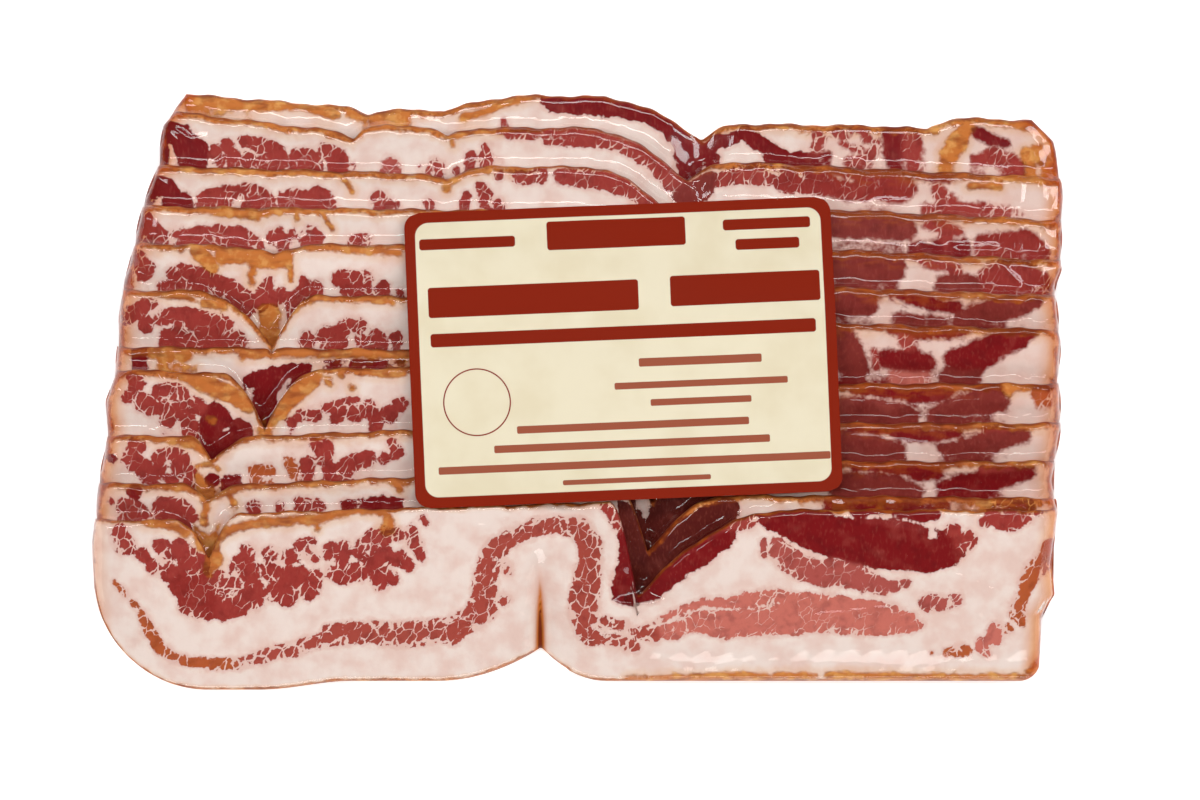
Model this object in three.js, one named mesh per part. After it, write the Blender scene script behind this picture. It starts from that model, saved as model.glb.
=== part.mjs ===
// A vacuum pack of sliced dry-cured bacon with a paper label, lying flat with its shown side up.
// Millimetres, +Z up. +X runs along the slices and +Y runs from the front slice towards the rear one.
// The clear film is drawn tight on the slices, so bag and slices make one solid: eleven shingled
// slices whose top edges show as steps above, and whose bottom edges show as steps below.
import * as THREE from "three";

// Driving dimensions
const HALF_LENGTH = 115.4;
const SLICE_WIDTH = 41.7;
const SLICE_THICKNESS = 3.85;
const MOST_LAYERS = 5.2;
const LABEL = {
  width: 101.6,
  height: 70.2,
  cornerRadius: 3.6,
  thickness: 0.4,
  centre: [11, 9.4],
  turnDegrees: 2.4,
  gap: 0.35,
};
const COLOURS = { bacon: 0xb0685c, label: 0xece1c5 };

// Each slice's top edge is a row of lobes, parted by notches where the long slice buckled in the
// pack. A lobe is [level, slope]. A notch is [x, y, reach to the left, reach to the right].
const SLICES = [
  { lobes: [[70.1, -0.085], [67.8, 0], [71.1, -0.02], [64.2, -0.015], [65.6, -0.03]],
    notches: [[-50, 66.7, 6, 6], [-32, 67.4, 3, 24], [30, 60.4, 34, 10], [84, 63.1, 12, 9]] },
  { lobes: [[65.8, -0.12], [63.9, 0], [63.4, 0], [53.6, -0.05]],
    notches: [[-53.4, 61, 6, 5], [-31.2, 61.3, 8, 9], [26.5, 50.6, 26, 12]] },
  { lobes: [[53.4, -0.03], [54, 0], [43.4, -0.05]],
    notches: [[-31.2, 50.8, 9, 9], [25, 40, 24, 12]] },
  { lobes: [[43.8, -0.012], [33.8, -0.05]], notches: [[23, 28, 24, 12]] },
  { lobes: [[35.3, -0.03], [35, -0.01], [24.9, -0.04]],
    notches: [[-72, 33, 12, 10], [22, 19, 22, 12]] },
  { lobes: [[24.4, 0], [22.8, -0.01], [16.4, -0.03]],
    notches: [[-72.7, 10.9, 19, 11], [21, 9, 20, 12]] },
  { lobes: [[10.4, -0.01], [2.2, 0]], notches: [[20, -4, 18, 14]] },
  { lobes: [[5, -0.04], [6.3, 0.02], [-7.2, 0]],
    notches: [[-74.6, -8.8, 10, 13], [19, -15, 16, 14]] },
  { lobes: [[-10.2, 0], [-8.6, 0.04], [-16.3, 0]],
    notches: [[-87.2, -16.2, 6, 10], [18, -26, 14, 16]] },
  { lobes: [[-21.6, 0], [-19.8, 0.045], [-24.6, -0.01]],
    notches: [[-88, -25.5, 7, 8], [17, -38, 11, 20]] },
  { lobes: [[-30.3, 0], [-27.3, 0.03], [-27.8, 0]],
    notches: [[-87.8, -39.4, 8, 8], [14.5, -48.7, 7, 36]] },
];
const FRONT = SLICES.length - 1;
const LEAST_STEP = 1.6; // between two top edges, where a notch almost reaches the next slice

// The front slice's bottom edge has one crease, where its two halves were pushed together.
const CREASE = { offset: -23.3, rise: 8, left: 25, right: 16, length: 24, depth: 2.6, width: 2.2 };
const BOTTOM_LEVEL = { left: -71.5, right: -69.4 };
const LEFT_CORNER = { start: -89, radius: 26.6 };
const RIGHT_CORNER = { start: 105.5, radius: 5 };

// The two sides of the pack, each as [y, x] from the front edge to the rear one.
const LEFT_SIDE = [
  [-72, -115], [-50, -115.1], [-36, -115.6], [-26, -114.4], [-20, -114.1], [-14, -112.4], [-2, -112.2],
  [5, -110], [13, -109.4], [25, -108.6], [30, -106.8], [45, -103.4], [53, -100.3], [64, -98.6], [71, -93.4],
];
const RIGHT_SIDE = [
  [-72, 110.6], [-53, 110.6], [-48.5, 113.6], [-41, 112.9], [-29, 114.4], [-21, 113.2], [-8, 115.3],
  [5, 114.7], [12, 115.2], [25, 113.7], [29, 115.3], [50, 115.8], [60, 113.6], [66, 108.4],
];

const smooth = (a, b, x) => THREE.MathUtils.smoothstep(x, a, b);
const mix = THREE.MathUtils.lerp;

// How far a notch pulls an edge, from 1 at its bottom to 0 at its reach.
function notchShare(x, notch) {
  const [at, , left, right] = notch;
  const reach = x < at ? left : right;
  return Math.max(0, 1 - Math.abs(x - at) / reach) ** 2;
}

// Top edge of a slice at x, before it is kept clear of the slice behind it.
function rawTopEdge(k, x) {
  const { lobes, notches } = SLICES[k];
  const at = notches.findIndex((n) => x < n[0]);
  const lobe = at < 0 ? lobes.length - 1 : at;
  const from = lobe === 0 ? -HALF_LENGTH : notches[lobe - 1][0];
  const to = lobe === lobes.length - 1 ? HALF_LENGTH : notches[lobe][0];
  const level = lobes[lobe][0] + lobes[lobe][1] * (x - (from + to) / 2);
  let y = level;
  for (const n of notches.slice(Math.max(0, lobe - 1), lobe + 1)) {
    y = Math.min(y, mix(level, n[1], notchShare(x, n)));
  }
  return y;
}

// The top edges of all slices at x, from the rear slice to the front one.
function topEdges(x) {
  const edges = [rawTopEdge(0, x)];
  for (let k = 1; k <= FRONT; k += 1) {
    edges.push(Math.min(rawTopEdge(k, x), edges[k - 1] - LEAST_STEP));
  }
  return edges;
}

// The level of a slice's top edge with its notches left out, easing from its left to its right part.
function level(k, x) {
  const { lobes, notches } = SLICES[k];
  const centre = notches.reduce((a, b) => (Math.abs(b[0] - 20) < Math.abs(a[0] - 20) ? b : a));
  const right = lobes[notches.indexOf(centre) + 1][0];
  const left = lobes[notches.indexOf(centre)][0];
  return mix(left, right, smooth(centre[0] - 30, centre[0] + 20, x));
}

// Where the middle notch of a slice lies: it wanders from the rear slice to the front one.
const middleNotch = (k) => mix(30, 14.5, k / FRONT);

function bottomEdge(k, x) {
  const creaseAt = middleNotch(k) + CREASE.offset;
  const reach = x < creaseAt ? CREASE.left : CREASE.right;
  const crease = CREASE.rise * Math.max(0, 1 - Math.abs(x - creaseAt) / reach) ** 2;
  const front = mix(BOTTOM_LEVEL.left, BOTTOM_LEVEL.right, smooth(-76, -54, x));
  const base = k === FRONT ? front : Math.max(level(k, x) - SLICE_WIDTH, front + 3 * (FRONT - k));
  const shift = along(LEFT_SIDE, base) + HALF_LENGTH;
  return base + crease + cornerRise(x - shift);
}

// The rounded corners of the pack's front edge, as a rise of that edge.
function cornerRise(x) {
  const left = Math.min(Math.max(LEFT_CORNER.start - x, 0), LEFT_CORNER.radius * 0.995);
  const right = Math.min(Math.max(x - RIGHT_CORNER.start, 0), RIGHT_CORNER.radius);
  const arc = (d, r) => r - Math.sqrt(Math.max(r * r - d * d, 0));
  return arc(left, LEFT_CORNER.radius) + arc(right, RIGHT_CORNER.radius);
}

// The x of a side of the pack at y, between the two listed points around it.
function along(side, y) {
  const after = side.findIndex(([at]) => at > y);
  if (after === 0) return side[0][1];
  if (after < 0) return side.at(-1)[1];
  const [[y0, x0], [y1, x1]] = [side[after - 1], side[after]];
  return mix(x0, x1, (y - y0) / (y1 - y0));
}

// Height of a slice's top edge above the floor: one more slice lies under each, up to the most layers.
const crestHeight = (k) => SLICE_THICKNESS * Math.min(k + 1, MOST_LAYERS);

const lump = (x, y) => 0.28 * Math.sin(x * 0.19 + y * 0.11) * Math.sin(x * 0.07 - y * 0.23 + 1.3);

// How far the film and the meat sink where the slices buckled.
function sink(x, y) {
  const valley = mix(14.5, 30, (y + 48.7) / 110);
  const inRear = 3 * Math.exp(-(((x - valley) / 5) ** 2));
  const creaseAt = middleNotch(FRONT) + CREASE.offset;
  const front = -61.5 + CREASE.length;
  const inCrease = CREASE.depth * Math.exp(-(((x - creaseAt) / CREASE.width) ** 2));
  return (y > -50 ? inRear : 0) + inCrease * smooth(front + 2, front - 6, y);
}

// One closed ring of [y, z] around the pack at x: over the steps of the top, round the front edge,
// and back under the steps of the bottom.
function ring(x) {
  const t = SLICE_THICKNESS;
  const top = topEdges(x);
  const bottom = SLICES.map((_, k) => bottomEdge(k, x));
  const points = [[top[0], 0.5 * t], [top[0] - 0.9, crestHeight(0)]];
  for (let k = 0; k < FRONT; k += 1) {
    const crest = crestHeight(k + 1);
    points.push([top[k + 1] + 0.35, crest - t]);
    points.push([top[k + 1] + 0.05, crest - 0.45 * t]);
    points.push([top[k + 1] - 0.9, crest]);
  }
  const crest = crestHeight(FRONT);
  for (const share of [0.3, 0.55, 0.8]) {
    points.push([mix(top[FRONT], bottom[FRONT], share), mix(crest, t, share) + 0.5]);
  }
  points.push([bottom[FRONT] + 0.9, t], [bottom[FRONT], 0.5 * t], [bottom[FRONT] + 0.8, 0]);
  for (let k = FRONT - 1; k >= 0; k -= 1) {
    const edge = Math.max(bottom[k], bottom[k + 1] + LEAST_STEP);
    points.push([edge - 0.1, 0.8 * t], [edge + 0.7, 0]);
  }
  points.push([top[0] - 0.8, 0]);
  return points;
}

// The stations along the slices: an even row, with more where the slices buckled and at both ends.
function stations() {
  const step = 4.7;
  const found = [];
  for (let x = -HALF_LENGTH; x <= HALF_LENGTH; x += step) found.push(x);
  for (const at of [-88, -74, -52, -31, -8.8, 15, 20, 25, 30]) found.push(at - 2.2, at, at + 2.2);
  for (const inset of [0, 0.8, 2.4]) found.push(-HALF_LENGTH + inset, HALF_LENGTH - inset);
  found.sort((a, b) => a - b);
  return found.filter((x, i) => i === 0 || x - found[i - 1] > 0.75);
}

// The face inside a ring that lies across the pack, as triangles that turn the way the ring does.
function endFace(ring) {
  const outline = ring.map(([, y, z]) => new THREE.Vector2(y, z));
  const ringTurn = THREE.ShapeUtils.area(outline);
  return THREE.ShapeUtils.triangulateShape(outline, []).map((triangle) => {
    const turn = THREE.ShapeUtils.area(triangle.map((j) => outline[j]));
    return turn * ringTurn > 0 ? triangle : triangle.reverse();
  });
}

// The face inside a thin ring that runs out along one side and back along the other.
function thinFace(ring) {
  const faces = [];
  for (let j = 0; j + 1 < ring.length / 2; j += 1) {
    const back = ring.length - 1 - j;
    faces.push([j, j + 1, back - 1], [j, back - 1, back]);
  }
  return faces;
}

// A closed mesh from equal rings, joined in order and shut by a face at each end.
function loft(rings, faceOf) {
  const count = rings[0].length;
  const positions = rings.flat(2);
  const faces = [];
  for (let i = 0; i + 1 < rings.length; i += 1) {
    for (let j = 0; j < count; j += 1) {
      const a = i * count + j;
      const b = i * count + ((j + 1) % count);
      faces.push(a, b, a + count, b, b + count, a + count);
    }
  }
  for (const i of [0, rings.length - 1]) {
    for (const triangle of faceOf(rings[i])) {
      const corners = triangle.map((j) => j + i * count);
      faces.push(...(i > 0 ? corners : corners.reverse()));
    }
  }
  const geometry = new THREE.BufferGeometry();
  geometry.setAttribute("position", new THREE.Float32BufferAttribute(positions, 3));
  geometry.setIndex(faces);
  return geometry;
}

function bagGeometry() {
  const endRound = 6;
  const rings = stations().map((nominal) => {
    const share = (nominal + HALF_LENGTH) / (2 * HALF_LENGTH);
    const fromEnd = HALF_LENGTH - Math.abs(nominal);
    const near = Math.min(fromEnd / endRound, 1);
    const fullness = 0.35 + 0.65 * Math.sqrt(1 - (1 - near) ** 2);
    let x = ring(nominal).map(() => nominal);
    for (let pass = 0; pass < 3; pass += 1) {
      x = x.map((at, j) => {
        const y = ring(at)[j][0];
        return mix(along(LEFT_SIDE, y), along(RIGHT_SIDE, y), share);
      });
    }
    return x.map((at, j) => {
      const [y, z] = ring(at)[j];
      const middle = 0.5 * Math.max(z, SLICE_THICKNESS);
      const low = z < 0.4 * SLICE_THICKNESS;
      const relief = low ? 0 : Math.min(z * 0.3, 1) * (lump(at, y) - sink(at, y));
      return [at, y, mix(middle, z + relief, low ? 1 : fullness)];
    });
  });
  return loft(rings, endFace);
}

// The smooth skin over the slices' top edges, which the stiff label bridges.
function bridge(x, y) {
  const edges = SLICES.map((_, k) => [level(k, x), crestHeight(k)]);
  const after = edges.findIndex(([edge]) => edge < y);
  if (after === 0) return edges[0][1];
  if (after < 0) return edges[FRONT][1] - 0.3 * (edges[FRONT][0] - y);
  const [[y0, z0], [y1, z1]] = [edges[after - 1], edges[after]];
  return mix(z0, z1, (y0 - y) / (y0 - y1));
}

function labelGeometry(bag) {
  const turn = THREE.MathUtils.degToRad(LABEL.turnDegrees);
  const [cos, sin] = [Math.cos(turn), Math.sin(turn)];
  const [cx, cy] = LABEL.centre;
  const [halfW, halfH, r] = [LABEL.width / 2, LABEL.height / 2, LABEL.cornerRadius];
  const inPack = (u, v) => [cx + u * cos - v * sin, cy + u * sin + v * cos];

  // The label clears the highest point of the bag under it.
  let proud = 0;
  const p = bag.getAttribute("position");
  for (let i = 0; i < p.count; i += 1) {
    const [dx, dy] = [p.getX(i) - cx, p.getY(i) - cy];
    const inside = Math.abs(dx * cos + dy * sin) < halfW + 4 && Math.abs(dy * cos - dx * sin) < halfH + 4;
    if (inside) proud = Math.max(proud, p.getZ(i) - bridge(p.getX(i), p.getY(i)));
  }
  const lift = proud + LABEL.gap;

  // Rows across the label, closer together in its rounded corners.
  const shares = [0, 0.08, 0.3, 0.65, 1].map((s) => halfH - r + r * s);
  const rows = [...shares.map((v) => -v).reverse()];
  for (let i = 1; i < 15; i += 1) rows.push(mix(-(halfH - r), halfH - r, i / 15));
  rows.push(...shares);
  const columns = 24;
  const rings = rows.map((v) => {
    const over = Math.max(Math.abs(v) - (halfH - r), 0);
    const half = halfW - (r - Math.sqrt(Math.max(r * r - over * over, 0.04)));
    const line = (side) => {
      const points = [];
      for (let i = 0; i <= columns; i += 1) {
        const [x, y] = inPack(mix(-half, half, i / columns), v);
        points.push([x, y, bridge(x, y) + lift + side * LABEL.thickness]);
      }
      return points;
    };
    return [...line(1).reverse(), ...line(0)];
  });
  return loft(rings, thinFace);
}

function facingOut(geometry) {
  const p = geometry.getAttribute("position");
  const index = geometry.getIndex();
  const [a, b, c] = [new THREE.Vector3(), new THREE.Vector3(), new THREE.Vector3()];
  let volume = 0;
  for (let i = 0; i < index.count; i += 3) {
    a.fromBufferAttribute(p, index.getX(i));
    b.fromBufferAttribute(p, index.getX(i + 1));
    c.fromBufferAttribute(p, index.getX(i + 2));
    volume += a.dot(b.cross(c)) / 6;
  }
  if (volume < 0) geometry.setIndex(Array.from(index.array).reverse());
  geometry.computeVertexNormals();
  return geometry;
}

function centre(box) {
  return [(box.min.x + box.max.x) / 2, (box.min.y + box.max.y) / 2, box.min.z];
}

const bag = bagGeometry();
const label = labelGeometry(bag);
bag.computeBoundingBox();
const [midX, midY, floor] = centre(bag.boundingBox);

const pack = new THREE.Group();
const finish = { roughness: 0.25, metalness: 0 };
const bagMesh = new THREE.Mesh(
  facingOut(bag),
  new THREE.MeshStandardMaterial({ color: COLOURS.bacon, ...finish }),
);
bagMesh.name = "vacuum_bag";
const labelMesh = new THREE.Mesh(
  facingOut(label),
  new THREE.MeshStandardMaterial({ color: COLOURS.label, roughness: 0.6, metalness: 0 }),
);
labelMesh.name = "label";
pack.add(bagMesh, labelMesh);
pack.position.set(-midX, -midY, -floor);

export default pack;
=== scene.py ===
# %% [markdown]
# # A vacuum pack of bacon
#
# Eleven slices of dry-cured belly lie shingled in clear film, with a paper label across them. The
# solids of the part give the pack's form as one lump. This lesson takes that lump apart again: it
# makes each slice, the film drawn tight on them, and the label, and gives each its finish.

# %% Load the frame
import math

import bpy
import numpy as np
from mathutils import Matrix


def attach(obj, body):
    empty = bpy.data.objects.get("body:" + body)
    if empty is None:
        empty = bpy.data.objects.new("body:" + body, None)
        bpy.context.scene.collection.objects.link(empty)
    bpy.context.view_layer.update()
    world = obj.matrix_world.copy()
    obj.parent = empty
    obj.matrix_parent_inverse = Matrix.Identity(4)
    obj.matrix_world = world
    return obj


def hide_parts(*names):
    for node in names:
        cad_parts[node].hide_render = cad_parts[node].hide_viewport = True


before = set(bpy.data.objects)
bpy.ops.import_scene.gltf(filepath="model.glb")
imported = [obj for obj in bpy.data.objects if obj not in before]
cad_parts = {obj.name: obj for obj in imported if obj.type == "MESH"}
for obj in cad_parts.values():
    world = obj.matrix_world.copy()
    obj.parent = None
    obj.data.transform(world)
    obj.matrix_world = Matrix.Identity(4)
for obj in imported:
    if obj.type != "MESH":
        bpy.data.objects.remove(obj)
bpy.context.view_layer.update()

# %% [markdown]
# ## Millimetres and the drawing
#
# The pack was drawn in millimetres, with its left-right and front-rear axes near its middle. The
# solids are centred on their box, so the drawing is shifted by a third of a millimetre.

# %% Units and small helpers
MM = 0.001
DRAWING_SHIFT = (0.3158, 0.1328)


def mix(a, b, share):
    return a + (b - a) * share


def smoothstep(low, high, value):
    share = np.clip((value - low) / (high - low), 0, 1)
    return share * share * (3 - 2 * share)


def quarter_round(distance, radius):
    """Height of a rounded edge, from 0 at the edge to 1 where the radius ends."""
    share = np.clip(distance / radius, 0, 1)
    return np.sqrt(1 - (1 - share) ** 2)


# %% [markdown]
# ## The slices' edges
#
# Each slice lies a centimetre in front of the one behind it. Its rear edge is a row of lobes, with
# notches where the long slice buckled as it was pushed into the bag. Curves could be drawn for them,
# but as numbers the film and the paint can ask where an edge lies. A lobe is a level and a slope. A
# notch is its place, the level it reaches, and how far it pulls the edge on its left and right.

# %% Sizes of the slices
HALF_LENGTH = 115.4
SLICE_WIDTH = 41.7
SLICE_THICKNESS = 3.85

# The rear slice comes first. Each has its lobes, and then the notches between them.
SLICES = [
    ([(70.7, -0.08), (67.8, 0), (71.1, -0.02), (64.2, -0.015), (65.6, -0.03)],
     [(-50, 66.7, 6, 6), (-32, 67.4, 3, 24), (30, 60.4, 26, 10), (84, 63.1, 12, 9)]),
    ([(65.8, -0.12), (63.9, 0), (63.4, 0), (53.6, -0.05)],
     [(-53.4, 61, 6, 5), (-31.2, 61.3, 8, 9), (26.5, 50.6, 26, 12)]),
    ([(53.4, -0.03), (54, 0), (43.4, -0.05)],
     [(-31.2, 50.8, 9, 9), (25, 40, 24, 12)]),
    ([(43.8, -0.012), (33.8, -0.05)], [(23, 28, 24, 12)]),
    ([(35.3, -0.03), (35, -0.01), (24.9, -0.04)], [(-72, 33, 12, 10), (22, 19, 22, 12)]),
    ([(24.4, 0), (22.8, -0.01), (16.4, -0.03)], [(-72.7, 10.9, 19, 11), (21, 9, 20, 12)]),
    ([(10.4, -0.01), (2.2, 0)], [(20, -4, 18, 14)]),
    ([(5, -0.04), (6.3, 0.02), (-7.2, 0)], [(-74.6, -8.8, 10, 13), (19, -15, 16, 14)]),
    ([(-10.2, 0), (-8.6, 0.04), (-16.3, 0)], [(-87.2, -16.2, 6, 10), (18, -26, 14, 16)]),
    ([(-21.6, 0), (-19.8, 0.045), (-24.6, -0.01)], [(-88, -25.5, 7, 8), (17, -38, 11, 20)]),
    ([(-30.3, 0), (-27.3, 0.03), (-27.8, 0)], [(-87.8, -39.4, 8, 8), (14.5, -48.7, 7, 36)]),
]
NAMES = "ABCDEFGHIJK"
FRONT = len(SLICES) - 1

# The pack's two sides, each as y and x from the front edge to the rear one.
LEFT_SIDE = np.array([
    (-72, -115), (-50, -115.1), (-36, -115.6), (-26, -114.4), (-20, -114.1), (-14, -112.4),
    (-2, -112.2), (5, -110), (13, -109.4), (25, -108.6), (30, -106.8), (45, -103.4), (53, -100.3),
    (64, -98.6), (71, -93.4),
])
RIGHT_SIDE = np.array([
    (-72, 110.6), (-53, 110.6), (-48.5, 113.6), (-41, 112.9), (-29, 114.4), (-21, 113.2), (-8, 115.3),
    (5, 114.7), (12, 115.2), (25, 113.7), (29, 115.3), (50, 115.8), (60, 113.6), (66, 108.4),
])

# %% Rear edges
# No edge comes closer than this to the one behind it.
LEAST_STEP = 1.6


def along(side, y):
    """The x of a side of the pack at y."""
    return np.interp(y, side[:, 0], side[:, 1])


def raw_rear_edge(k, x):
    """The rear edge of slice k, before it is kept clear of the slice behind it."""
    lobes, notches = SLICES[k]
    marks = [notch[0] for notch in notches]
    lobe = np.searchsorted(marks, x, side="right")
    ends = np.array([-HALF_LENGTH, *marks, HALF_LENGTH])
    levels, slopes = np.array(lobes).T
    flat = levels[lobe] + slopes[lobe] * (x - (ends[lobe] + ends[lobe + 1]) / 2)
    edge = flat.copy()
    for number, (middle, reached, left, right) in enumerate(notches):
        reach = np.where(x < middle, left, right)
        pull = np.clip(1 - abs(x - middle) / reach, 0, 1) ** 2
        beside = (lobe == number) | (lobe == number + 1)
        edge = np.where(beside, np.minimum(edge, mix(flat, reached, pull)), edge)
    return edge


def rear_edge(k, x):
    """The rear edge of slice k, with the small waves of a cut by a blade."""
    edge = raw_rear_edge(0, x)
    for number in range(1, k + 1):
        edge = np.minimum(raw_rear_edge(number, x), edge - LEAST_STEP)
    return edge + 0.22 * np.sin(0.41 * x + 1.7 * k) + 0.12 * np.sin(1.13 * x + 2.9 * k)


# %% Valley of the notches
# The notches near the middle lie in a line, from here on the rear slice to here on the front one.
VALLEY_REAR = 30
VALLEY_FRONT = 14.5
VALLEY_MIDDLE = 20


def middle_notch(k):
    return mix(VALLEY_REAR, VALLEY_FRONT, k / FRONT)


def level(k, x):
    """The rear edge without its notches, easing from the left half to the right one."""
    lobes, notches = SLICES[k]
    middle = min(range(len(notches)), key=lambda n: abs(notches[n][0] - VALLEY_MIDDLE))
    at = notches[middle][0]
    return mix(lobes[middle][0], lobes[middle + 1][0], smoothstep(at - 30, at + 20, x))


# %% Front edges
# The pack's front edge at its left and right end, and where the arc of each front corner starts and
# its radius.
BOTTOM_LEFT = -71.5
BOTTOM_RIGHT = -69.4
LEFT_CORNER = (-89, 26.6)
RIGHT_CORNER = (105.5, 5)
# The film pinched a crease into the front: how far it lies from the middle notch, how far it pulls
# the front edge in, and its reach on its left and right.
CREASE_OFFSET = -23.3
CREASE_RISE = 8
CREASE_REACH = (25, 16)


def arc_rise(distance, radius):
    """How far a rounded corner has risen at a distance along it."""
    return radius - np.sqrt(np.maximum(radius ** 2 - distance ** 2, 0))


def corner_rise(x):
    """The rise of both front corners. The left arc stops just short of upright."""
    start, radius = LEFT_CORNER
    left = arc_rise(np.clip(start - x, 0, radius * 0.995), radius)
    start, radius = RIGHT_CORNER
    return left + arc_rise(np.clip(x - start, 0, radius), radius)


def front_edge(k, x):
    """The front edge of slice k. The solids hold the same edge as a step of their underside."""
    crease_at = middle_notch(k) + CREASE_OFFSET
    reach = np.where(x < crease_at, *CREASE_REACH)
    crease = CREASE_RISE * np.clip(1 - abs(x - crease_at) / reach, 0, 1) ** 2
    pack_front = mix(BOTTOM_LEFT, BOTTOM_RIGHT, smoothstep(-76, -54, x))
    base = pack_front
    if k < FRONT:
        base = np.maximum(level(k, x) - SLICE_WIDTH, pack_front + 3 * (FRONT - k))
    return base + crease + corner_rise(x - along(LEFT_SIDE, base) - HALF_LENGTH)


# %% [markdown]
# ## How the slices lie on each other
#
# A slice starts on the table and climbs over the front edges of the slices behind it, one
# thickness for each. A simulation could drop soft slices on each other, but it would be slow, and
# they would slide from their drawn places. Counting the edges gives how many layers lie under any
# point, so each slice rests on the last one. Where the pack buckled, all layers sink together.

# %% Layers under a point
# How far the bend of a slice at an edge under it is eased, in mm.
EASE = 5.0


def layers_under(k, x, y):
    """How many slices lie under slice k at a point.

    A slice climbs on to the one behind it over the whole way between their two front edges, and the
    bend at each edge is eased.
    """
    layers = np.zeros_like(y)
    edge = front_edge(k, x)
    for behind in range(k - 1, -1, -1):
        next_edge = front_edge(behind, x)
        for offset in (-EASE, -EASE / 2, 0, EASE / 2, EASE):
            layers += np.clip((y + offset - edge) / (next_edge - edge), 0, 1) / 5
        edge = next_edge
    return layers


# %% Heights in the pack
# The crease in the front slice: its depth, its width and where it ends towards the rear.
CREASE_DEPTH = 2.6
CREASE_WIDTH = 2.2
CREASE_TOP = -37.5
# How far the meat lies over the table, on the film under it.
LIFT = 0.15
# The stack's height at its very ends, as a share of its full one, and how far in that goes.
END_HEIGHT = 0.675
END_ROUND = 6.0


def lump(x, y):
    """Slow waves of the pressed meat."""
    return 0.28 * np.sin(x * 0.19 + y * 0.11) * np.sin(x * 0.07 - y * 0.23 + 1.3)


def sink(x, y):
    """How far the meat sinks along the valley of the notches and in the front slice's crease."""
    valley = mix(VALLEY_FRONT, VALLEY_REAR, (y + 48.7) / 110)
    rear = np.where(y > -50, 3 * np.exp(-(((x - valley) / 5) ** 2)), 0)
    crease_at = middle_notch(FRONT) + CREASE_OFFSET
    crease = CREASE_DEPTH * np.exp(-(((x - crease_at) / CREASE_WIDTH) ** 2))
    return rear + crease * smoothstep(CREASE_TOP + 2, CREASE_TOP - 6, y)


def end_squeeze(from_end):
    """The film squeezes the stack lower towards its two ends."""
    return mix(END_HEIGHT, 1, quarter_round(from_end, END_ROUND))


def settle(x, y, z, from_end):
    """A height in the loose stack, as it is in the pack."""
    relief = np.minimum(np.maximum(z, 0) * 0.3, 1) * (lump(x, y) - sink(x, y))
    return np.maximum(z + relief, 0) * end_squeeze(from_end) + LIFT


# %% [markdown]
# ## The lean, the fat and the smoked edge as brush strokes
#
# No two slices of belly are alike, so a noise pattern alone never looks right. Here the lean of each
# slice is painted as strokes over the drawing. A stroke is a row of points, each as x, y and
# half-width. A point without a width takes the next one's. A letter sets the tone from there on.

# %% Tones of the meat


def linear(hex_colour):
    """An sRGB hex colour as linear red, green, blue and full alpha."""
    channels = [int(hex_colour[i:i + 2], 16) / 255 for i in (1, 3, 5)]
    return tuple(c / 12.92 if c <= 0.04045 else ((c + 0.055) / 1.055) ** 2.4 for c in channels) + (1,)


# Each tone's fourth number says how much thin seams of fat part it.
TONES = {
    "d": linear("#7E1316")[:3] + (0.0,),
    "n": linear("#97302A")[:3] + (0.5,),
    "r": linear("#A23A33")[:3] + (0.65,),
    "s": linear("#AC4A3E")[:3] + (0.9,),
    "m": linear("#B2544C")[:3] + (0.5,),
    "p": linear("#CE7264")[:3] + (0.6,),
    "o": linear("#B85A30")[:3] + (0.6,),
    "v": linear("#86302A")[:3] + (0.12,),
    # b is no tone of the meat: it is painted shade, a dark brown laid in the deep notches and in the pockets
    # between layers, with no seams of fat.
    "b": linear("#5E1E18")[:3] + (0.0,),
}

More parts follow.
